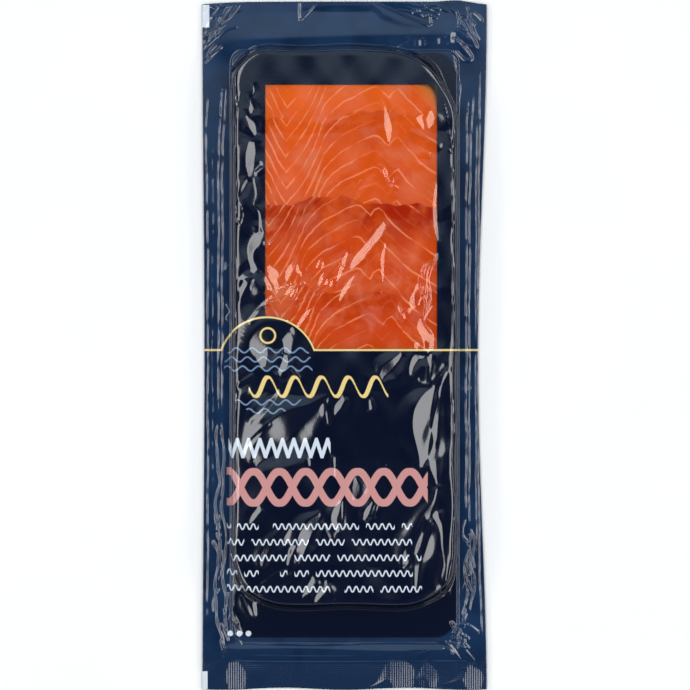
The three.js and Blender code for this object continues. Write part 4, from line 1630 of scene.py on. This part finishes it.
    def colour(self, motifs: Sequence[Motif]) -> Socket:
        """All inks that a field of the film carries.

        Args:
            motifs: its shapes, in the order they are laid.

        Returns:
            The colour.
        """
        inks = self.sizes
        work = {
            Motif.SEA: (inks.ring, self.sea),
            Motif.SUN: (inks.gold, self.sun),
            Motif.GOLD_LINE: (inks.gold, self.gold_line),
            Motif.SWASH: (inks.gold, self.swash),
            Motif.CHEVRONS: (inks.pale, self.chevrons),
            Motif.BRAID: (inks.pink, self.braid),
            Motif.RIPPLES: (inks.pale, self.ripples),
            Motif.SPOTS: (inks.pale, self.spots),
            Motif.BARS: (inks.bar, self.bars),
        }
        colour = self.ground()
        for motif in motifs:
            ink, mask = work[motif]
            colour = self.ink(colour, linear(ink), mask())
        return colour


@dataclass(frozen=True)
class PrintedFilm:
    """Printed polyester film laminated to polythene, glossy and shrunk tight."""

    print: Print = Print()
    roughness: float = 0.1
    seal_roughness: float = 0.125
    seal_blend: Pair = (-149.0, -146.0)  # the lower seal turns duller along here
    ior: float = 1.6
    grain: float = 0.9  # fine waves in the film, to a millimetre
    knurl_pitch: float = 1.05  # squares of the heated seal bar
    low_knurl: Pair = (-146.8, 0.3)  # the lower knurled seal starts here, with this soft edge
    top_knurl: Row = (153.5, 154.5, 0.0, 0.3)  # the upper one is pressed less deep

    def shader(self, f: PrintedFinish, motifs: Sequence[Motif], sealed: bool = False) -> Socket:
        """The film's surface.

        Args:
            f: the material.
            motifs: what is printed on it.
            sealed: True where both end seals belong to it.

        Returns:
            The shader.
        """
        colour = f.colour(motifs)
        grain = f.add("TexNoise", {"Vector": f.place, "Scale": self.grain, "Detail": 2.0})
        bump = f.add("Bump", {"Strength": 0.05, "Distance": 0.0002, "Height": grain})
        rough: Any = self.roughness
        if sealed:
            bump = self.knurl(f, bump)
            rough = f.add("MapRange", [f.y, *self.seal_blend, self.seal_roughness, rough])
        return f.add(
            "BsdfPrincipled",
            {"Base Color": colour, "Roughness": rough, "IOR": self.ior, "Normal": bump},
        )

    def knurl(self, f: Finish, below: Socket) -> Socket:
        """Square knurling pressed into both end seals.

        Args:
            f: the material.
            below: the normal so far.

        Returns:
            The new normal.
        """
        pace = math.tau / self.knurl_pitch
        turn = f.add("VectorMath SCALE", {0: f.place, "Scale": pace})
        turn = f.add("VectorMath SINE", [turn])
        square = f.add("Math ADD", [f.add("SeparateXYZ", [turn], out=axis) for axis in "XY"])
        high = f.add("MapRange", [f.y, *self.top_knurl])
        height = f.both(square, f.either(f.within(f.y, *self.low_knurl), high))
        return f.add(
            "Bump", {"Strength": 0.22, "Distance": 0.00004, "Height": height, "Normal": below}
        )

    def made(self, name: str, *motifs: Motif, sealed: bool = False) -> bpy.types.Material:
        """Make the material of one field."""
        f = PrintedFinish(name, self.print)
        return f.made(self.shader(f, motifs, sealed))


@dataclass(frozen=True)
class ClearFilm:
    """Clear polyester film: the slices show through a glossy skin."""

    ior: float = 1.62
    roughness: float = 0.06
    tint: str = "FFFAF7"
    shine: str = "FFEDD8"
    printed_to: float = 23.4  # radius of the printed corner under the arch

    def made(self, printed: PrintedFilm) -> bpy.types.Material:
        """Make the window's material, with the printed corner under the arch.

        Args:
            printed: the film's printed finish.

        Returns:
            The material.
        """
        f = PrintedFinish("clear_window_film", printed.print)
        see = f.add("BsdfTransparent", [linear(self.tint)])
        gloss = f.add("BsdfGlossy", {"Color": linear(self.shine), "Roughness": self.roughness})
        clear = f.add("MixShader", [f.add("Fresnel", {"IOR": self.ior}), see, gloss])
        solid = printed.shader(f, (Motif.SEA, Motif.SUN, Motif.GOLD_LINE))
        corner = f.within(f.far(printed.print.arch), self.printed_to)
        return f.made(f.add("MixShader", [corner, clear, solid]))


@dataclass(frozen=True)
class SalmonFlesh:
    """Cold-smoked raw salmon, cut thin: moist, slightly glassy, with pale fat lines."""

    top: str = "E87416"
    middle: str = "D1510C"
    # painted shade: deeper red under the edge of the slice above, as its shadow
    shadow_red: str = "B02800"
    fat: str = "EE9C6C"
    pale: str = "E0763A"
    milky: str = "D98A66"
    # painted light reflected onto the flesh from the bare gold card
    painted_card_light: str = "F0A43A"
    tone: Row = (25.0, 118.0, -0.1, 0.85)  # lighter towards the top of the window
    painted_card_light_at: Place = (47.0, 125.0, 0.0)  # painted light: a glow where light from the bare card would reach the flesh
    painted_card_light_fade: Row = (4.0, 17.0, 1.0, 0.0)
    tone_size: float = 14.0  # of the clouds in that tone
    tone_swing: float = 1.1
    uneven: Patches = Patches(20, 4.0, (0.38, 0.58), (0.15, 1.1))
    blotch: Patches = Patches(7, 3.0, (0.5, 0.8), (0.0, 0.6))
    milk: Patches = Patches(12, 5.0, (0.52, 0.72), (0.0, 0.55))
    milk_aside: Place = (31.0, 17.0, 5.0)  # so that milky and ragged patches differ
    edge_pale: float = 0.15  # how much paler a slice is at its thick edge
    layered: Row = (0.2, 1.0, 0.0, 0.5)  # paler side of each flake
    layer_patches: Row = (0.42, 0.58, 1.0, 0.0)  # and where it shows
    flakes: Flakes = Flakes()
    drift: Pair = (16.0, 2.2)  # size and reach of the lines' slow drift
    jag: Pair = (2.4, 0.9)  # and of their fine jags
    line_half: float = 0.24
    line_size: float = 9.0  # of the stretches where the lines are bold or faint
    line_width: Row = (0.35, 0.65, 0.3, 1.9)  # faint lines are thin, bold ones wide
    line_strength: Row = (0.34, 0.52, 0.12, 0.95)  # and weak or strong
    line_core: float = 0.4  # the line is solid to this share of its half-width
    line_soft: Pair = (1.3, 0.14)  # and ends at this share and this much more
    sparse: Pair = (0.0, 16.0)  # every second line fades out here, to the right
    faded: float = -1.7  # change of its strength there

    def bend(self, f: Finish, across: Socket, shift: float) -> Socket:
        """Height of the bent fat line at a place across the slice.

        Args:
            f: the material.
            across: the place.
            shift: how far to the right of it to read.

        Returns:
            The height, in millimetres.
        """
        reach, span = self.flakes.reach, self.flakes.span
        share = f.add("MapRange", [across, -reach - shift, reach - shift, 0.0, 1.0])
        height = f.add("FloatCurve", {"Value": share})
        curve = height.node.mapping.curves[0]
        ends = [((x + reach) / (2 * reach), y / span) for x, y in self.flakes.line]
        curve.points[0].location = ends[0]
        curve.points[1].location = ends[-1]
        for end in ends[1:-1]:
            curve.points.new(*end)
        for point in curve.points:
            point.handle_type = "VECTOR"
        height.node.mapping.update()
        return f.add("Math MULTIPLY", [height, span])

    def strayed(self, f: Finish, flake: Socket) -> Socket:
        """The lines' own coordinates, drawn a little out of true.

        Args:
            f: the material.
            flake: the true ones.

        Returns:
            The new ones.
        """
        for (size, reach), detail in ((self.drift, 2.0), (self.jag, 3.0)):
            cloud = {"Vector": f.place, "Scale": 1 / size, "Detail": detail}
            stray = f.add("TexNoise", cloud, out="Color")
            stray = f.add("VectorMath SUBTRACT", [stray, (0.5, 0.5, 0.5)])
            flake = f.add("VectorMath MULTIPLY_ADD", [stray, (reach, reach, 0), flake])
        return flake

    def lines(self, f: Finish, across: Socket, turn: Socket, line: Socket) -> Socket:
        """Mask of the fat lines, bold in places and faint in others.

        Args:
            f: the material.
            across: the place across, in the lines' own coordinates.
            turn: the place along, counted in lines.
            line: height of the bent line here.

        Returns:
            The mask.
        """
        rise = f.add("Math SUBTRACT", [self.bend(f, across, 1.0), line])
        away = f.add("Math PINGPONG", [turn, 0.5])
        away = f.square_on(f.both(away, self.flakes.pitch), rise)
        cloud = {"Vector": f.place, "Scale": 1 / self.line_size, "Detail": 3.0}
        patchy = f.add("TexNoise", cloud)
        width = f.both(f.add("MapRange", [patchy, *self.line_width]), self.line_half)
        outer = f.add("Math MULTIPLY_ADD", [width, *self.line_soft])
        fat = f.add("MapRange", [away, f.both(width, self.line_core), outer, 1.0, 0.0])
        strength = f.add("MapRange", [patchy, *self.line_strength])
        odd = f.add("Math FRACT", [self.halves(f, turn)])
        sparse = f.add("MapRange", [across, *self.sparse, 0.0, 1.0])
        kept = f.add("Math MULTIPLY_ADD", [f.both(odd, sparse), self.faded, 1.0])
        return f.both(f.both(fat, strength), kept)

    def halves(self, f: Finish, turn: Socket) -> Socket:
        """Half the number of the nearest line."""
        return f.both(f.add("Math ROUND", [turn]), 0.5)

    def layer(self, f: Finish, across: Socket, turn: Socket) -> Socket:
        """Mask of the paler side of each flake, where every second line is missing.

        Args:
            f: the material.
            across: the place across, in the lines' own coordinates.
            turn: the place along, counted in lines.

        Returns:
            The mask.
        """
        close = f.add("Math FRACT", [turn])
        apart = f.add("Math FRACT", [self.halves(f, turn)])
        apart = f.add("Math MULTIPLY_ADD", [close, 0.5, apart])
        full = f.add("MapRange", [across, *self.sparse, 1.0, 0.0])
        return f.add("MapRange", [f.both(apart, full), *self.layered])

    def flesh(self, f: Finish, shade: Socket, layer: Socket) -> Socket:
        """Colour of the flesh between the lines, deeper or paler in soft patches, with painted shade under
        the slice above and painted light near the card's bare corner.

        Args:
            f: the material.
            shade: above 0 where painted shade makes it deeper red, below 0 where it is paler.
            layer: mask of the paler side of each flake.

        Returns:
            The colour.
        """
        cloud = {"Vector": f.place, "Scale": 1 / self.tone_size, "Detail": 3.0}
        cloud = f.add("TexNoise", cloud)
        light = f.add("MapRange", [f.y, *self.tone])
        tone = [f.add("Math SUBTRACT", [cloud, 0.5]), self.tone_swing, light]
        tone = f.add("Math MULTIPLY_ADD", tone, use_clamp=True)
        uneven = f.patches(self.uneven)
        # painted shade: deeper red under the slice above
        under = f.both(f.either(shade, 0.0), uneven)
        thick = f.both(f.add("MapRange", [shade, -1.0, 0.0, self.edge_pale, 0.0]), uneven)
        blotch = f.patches(self.blotch)
        aside = f.add("VectorMath ADD", [f.place, self.milk_aside])
        milk = f.patches(self.milk, Vector=aside, Distortion=0.8)
        # painted light: golden glow from the bare card, fading away from its corner
        edge = f.add("MapRange", [f.far(self.painted_card_light_at), *self.painted_card_light_fade])
        layer = f.both(layer, f.add("MapRange", [cloud, *self.layer_patches]))
        colour = f.ink(linear(self.middle), linear(self.top), tone)
        for ink, mask in (
            (self.shadow_red, under), (self.pale, thick), (self.pale, blotch),
            (self.milky, milk), (self.painted_card_light, edge), (self.pale, layer),
        ):
            colour = f.ink(colour, linear(ink), mask)
        return colour

    def made(self) -> bpy.types.Material:
        """Make the flesh.

        Returns:
            The material.
        """
        f = Finish("smoked_salmon")
        flake = f.add("Attribute", out="Vector", attribute_name=FLAKE)
        shade = f.add("SeparateXYZ", [flake], out="Z")
        moved = self.strayed(f, flake)
        across, along = (f.add("SeparateXYZ", [moved], out=axis) for axis in "XY")
        line = self.bend(f, across, 0.0)
        turn = f.both(f.add("Math SUBTRACT", [along, line]), 1 / self.flakes.pitch)
        flesh = self.flesh(f, shade, self.layer(f, across, turn))
        colour = f.ink(flesh, linear(self.fat), self.lines(f, across, turn, line))
        moist = {"Roughness": 0.6, "IOR": 1.38, "Specular IOR Level": 0.1}
        return f.made(f.add("BsdfPrincipled", {"Base Color": colour, **moist}))


@dataclass(frozen=True)
class GoldCard:
    """Board laminated with gold polyester foil: a dull yellow glint."""

    foil: str = "F3C550"

    def made(self) -> bpy.types.Material:
        """Make the card.

        Returns:
            The material.
        """
        f = Finish("gold_foil_card")
        grain = f.add("TexNoise", {"Vector": f.place, "Scale": 1.4, "Detail": 3.0})
        rough = f.add("MapRange", [grain, 0.3, 0.7, 0.28, 0.42])
        bump = f.add("Bump", {"Strength": 0.15, "Distance": 0.0002, "Height": grain})
        look = {"Base Color": linear(self.foil), "Metallic": 0.15, "Roughness": rough, "Normal": bump}
        return f.made(f.add("BsdfPrincipled", look))


@dataclass(frozen=True)
class BackFilm:
    """Plain navy polythene, coextruded and left unprinted: a satin dark blue."""

    colour: str = "16294A"
    light: str = "2B4668"

    def made(self) -> bpy.types.Material:
        """Make the film.

        Returns:
            The material.
        """
        f = Finish("navy_back_film")
        crease = f.add("TexNoise", {"Vector": f.place, "Scale": 0.12, "Detail": 4.0})
        tone = f.add("MapRange", [crease, 0.4, 0.7, 0.0, 0.25])
        colour = f.ink(linear(self.colour), linear(self.light), tone)
        bump = f.add("Bump", {"Strength": 0.3, "Distance": 0.0004, "Height": crease})
        look = {"Base Color": colour, "Roughness": 0.22, "Normal": bump}
        return f.made(f.add("BsdfPrincipled", look))


# ---- Studio --------------------------------------------------------------------------------


@dataclass(frozen=True)
class Lamp:
    """A rectangular lamp that hangs beside the pack and faces it; sizes are in metres."""

    out: float  # how far out it hangs
    height: float
    size: Pair  # in its rising direction and along the floor

    def hang(self, name: str, turn: float, radiance: float) -> None:
        """Hang it in the studio.

        Args:
            name: its name.
            turn: the way it hangs from the middle, in degrees from the right.
            radiance: brightness of its face.
        """
        data = bpy.data.lights.new(name, "AREA")
        data.shape = "RECTANGLE"
        data.size, data.size_y = self.size
        data.energy = radiance * math.pi * self.size[0] * self.size[1]
        lamp = bpy.data.objects.new(name, data)
        way = math.radians(turn)
        lamp.location = (self.out * math.cos(way), self.out * math.sin(way), self.height)
        lamp.rotation_euler = (0.0, math.atan2(self.out, self.height), way)
        lamp.visible_camera = False
        bpy.context.scene.collection.objects.link(lamp)


@dataclass(frozen=True)
class Studio:
    """Pale floor, two soft boxes overhead, eight low side strips and the camera; in metres."""

    floor_colour: str = "F4F4F3"
    floor_shade: str = "EFEFEE"
    floor_half: float = 6.0
    floor_drop: float = 0.0001
    camera_height: float = 1.5
    field_width: float = 0.3206  # seen across the frame, at the flange
    sensor: float = 36.0
    aim: Pair = (0.00019, 0.00005)
    soft_box: Lamp = Lamp(0.455, 1.2, (0.35, 1.0))
    soft_light: float = 5.6
    strip: Lamp = Lamp(1.3, 0.75, (0.11, 1.05))
    side_light: float = 11.0  # of the strips beside the pack
    end_light: float = 1.2  # beyond its ends
    corner_light: float = 6.0  # and between
    glow: Run = (  # way down from straight above to the horizon, light
        (0.0, 0.015), (0.035, 0.02), (0.07, 0.14), (0.26, 0.15), (0.34, 0.2), (1.0, 0.36),
    )
    glow_tint: Place = (0.78, 1.0, 1.22)
    least_glow: float = 0.42
    far_glow: Row = (0.27, 0.4, 5.2, 0.8)  # brighter band beyond the window's end

    def floor(self) -> None:
        """Lay the floor."""
        bm = bmesh.new()
        bmesh.ops.create_grid(bm, x_segments=1, y_segments=1, size=self.floor_half)
        mesh = bpy.data.meshes.new("floor")
        bm.to_mesh(mesh)
        bm.free()
        floor = bpy.data.objects.new("floor", mesh)
        mesh.transform(Matrix.Translation((0, 0, -self.floor_drop)))
        bpy.context.scene.collection.objects.link(floor)
        f = Finish("studio_floor")
        cloud = f.add("TexNoise", {"Vector": f.place, "Scale": 0.01})
        colour = f.ink(linear(self.floor_colour), linear(self.floor_shade), cloud)
        dress(floor, f.made(f.add("BsdfPrincipled", {"Base Color": colour, "Roughness": 0.8})))

    def surroundings(self) -> None:
        """Dim room: darkest straight above, a faint glow round it."""
        world = bpy.data.worlds.new("room")
        bpy.context.scene.world = world
        world.use_nodes = True
        sky = NodeWork(world.node_tree, "OutputWorld")
        place = sky.add("TexCoord", out="Generated")
        up = sky.add("SeparateXYZ", [place], out="Z")
        down = sky.add("Math ARCCOSINE", [up])
        share = sky.add("Math DIVIDE", [down, math.pi / 2])
        light = sky.add("ValToRGB", [share])
        elements = light.node.color_ramp.elements
        elements[0].position, elements[1].position = self.glow[0][0], self.glow[-1][0]
        for at, _ in self.glow[1:-1]:
            elements.new(at)
        for element, (at, level) in zip(elements, self.glow):
            element.position = at
            element.color = (*(level * tint for tint in self.glow_tint), 1)
        flat = sky.add("VectorMath MULTIPLY", [place, (1, 1, 0)])
        unit = sky.add("VectorMath NORMALIZE", [flat])
        far = sky.add("Math MAXIMUM", [sky.add("SeparateXYZ", [unit], out="Y"), 0.0])
        far = sky.add("Math POWER", [far, 2.0])
        band = sky.add("MapRange", [share, *self.far_glow])
        strength = sky.add("MapRange", [far, 0.0, 1.0, self.least_glow, band])
        sky.show(sky.add("Background", [light, strength]))

    def camera(self) -> None:
        """Look straight down on the pack."""
        data = bpy.data.cameras.new("camera")
        data.sensor_width = self.sensor
        data.lens = self.sensor * self.camera_height / self.field_width
        data.clip_end = 50.0
        camera = bpy.data.objects.new("camera", data)
        camera.location = (*self.aim, self.camera_height)
        bpy.context.scene.collection.objects.link(camera)
        bpy.context.scene.camera = camera

    def build(self) -> None:
        """Set everything up."""
        self.camera()
        self.floor()
        for turn in (0, 180):
            self.soft_box.hang(f"soft_box_{turn}", turn, self.soft_light)
        for turn in range(0, 360, 45):
            light = {0: self.side_light, 90: self.end_light}.get(turn % 180, self.corner_light)
            self.strip.hang(f"low_strip_{turn}", turn, light)
        self.surroundings()
        bpy.context.scene.view_settings.view_transform = "Standard"
        log.info("studio: %d lamps", len(bpy.data.lights))


def main() -> None:
    """Build the studio and the pack."""
    logging.basicConfig(level=logging.INFO, format="%(message)s")
    Studio().build()
    form = PackForm()
    film = PrintedFilm()
    dress(BackSheet(form).build(), BackFilm().made())
    dress(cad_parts["board"], GoldCard().made())
    log.info("board: dressed as it is")
    flesh = SalmonFlesh().made()
    for leaf in SalmonPile(form).build():
        dress(leaf, flesh)
    label = (
        Motif.SEA, Motif.GOLD_LINE, Motif.SWASH, Motif.CHEVRONS, Motif.BRAID, Motif.RIPPLES,
        Motif.SPOTS,
    )
    pieces = FrontFilm(form).build()
    rim = film.made("printed_rim_film", Motif.GOLD_LINE, Motif.BARS, sealed=True)
    dress(pieces[Area.RIM], rim)
    dress(pieces[Area.LABEL], film.made("printed_label_film", *label))
    surround = film.made("printed_surround_film", Motif.SEA, Motif.SUN, Motif.GOLD_LINE)
    dress(pieces[Area.SURROUND], surround)
    dress(pieces[Area.WINDOW], ClearFilm().made(film))


if __name__ == "__main__":
    main()
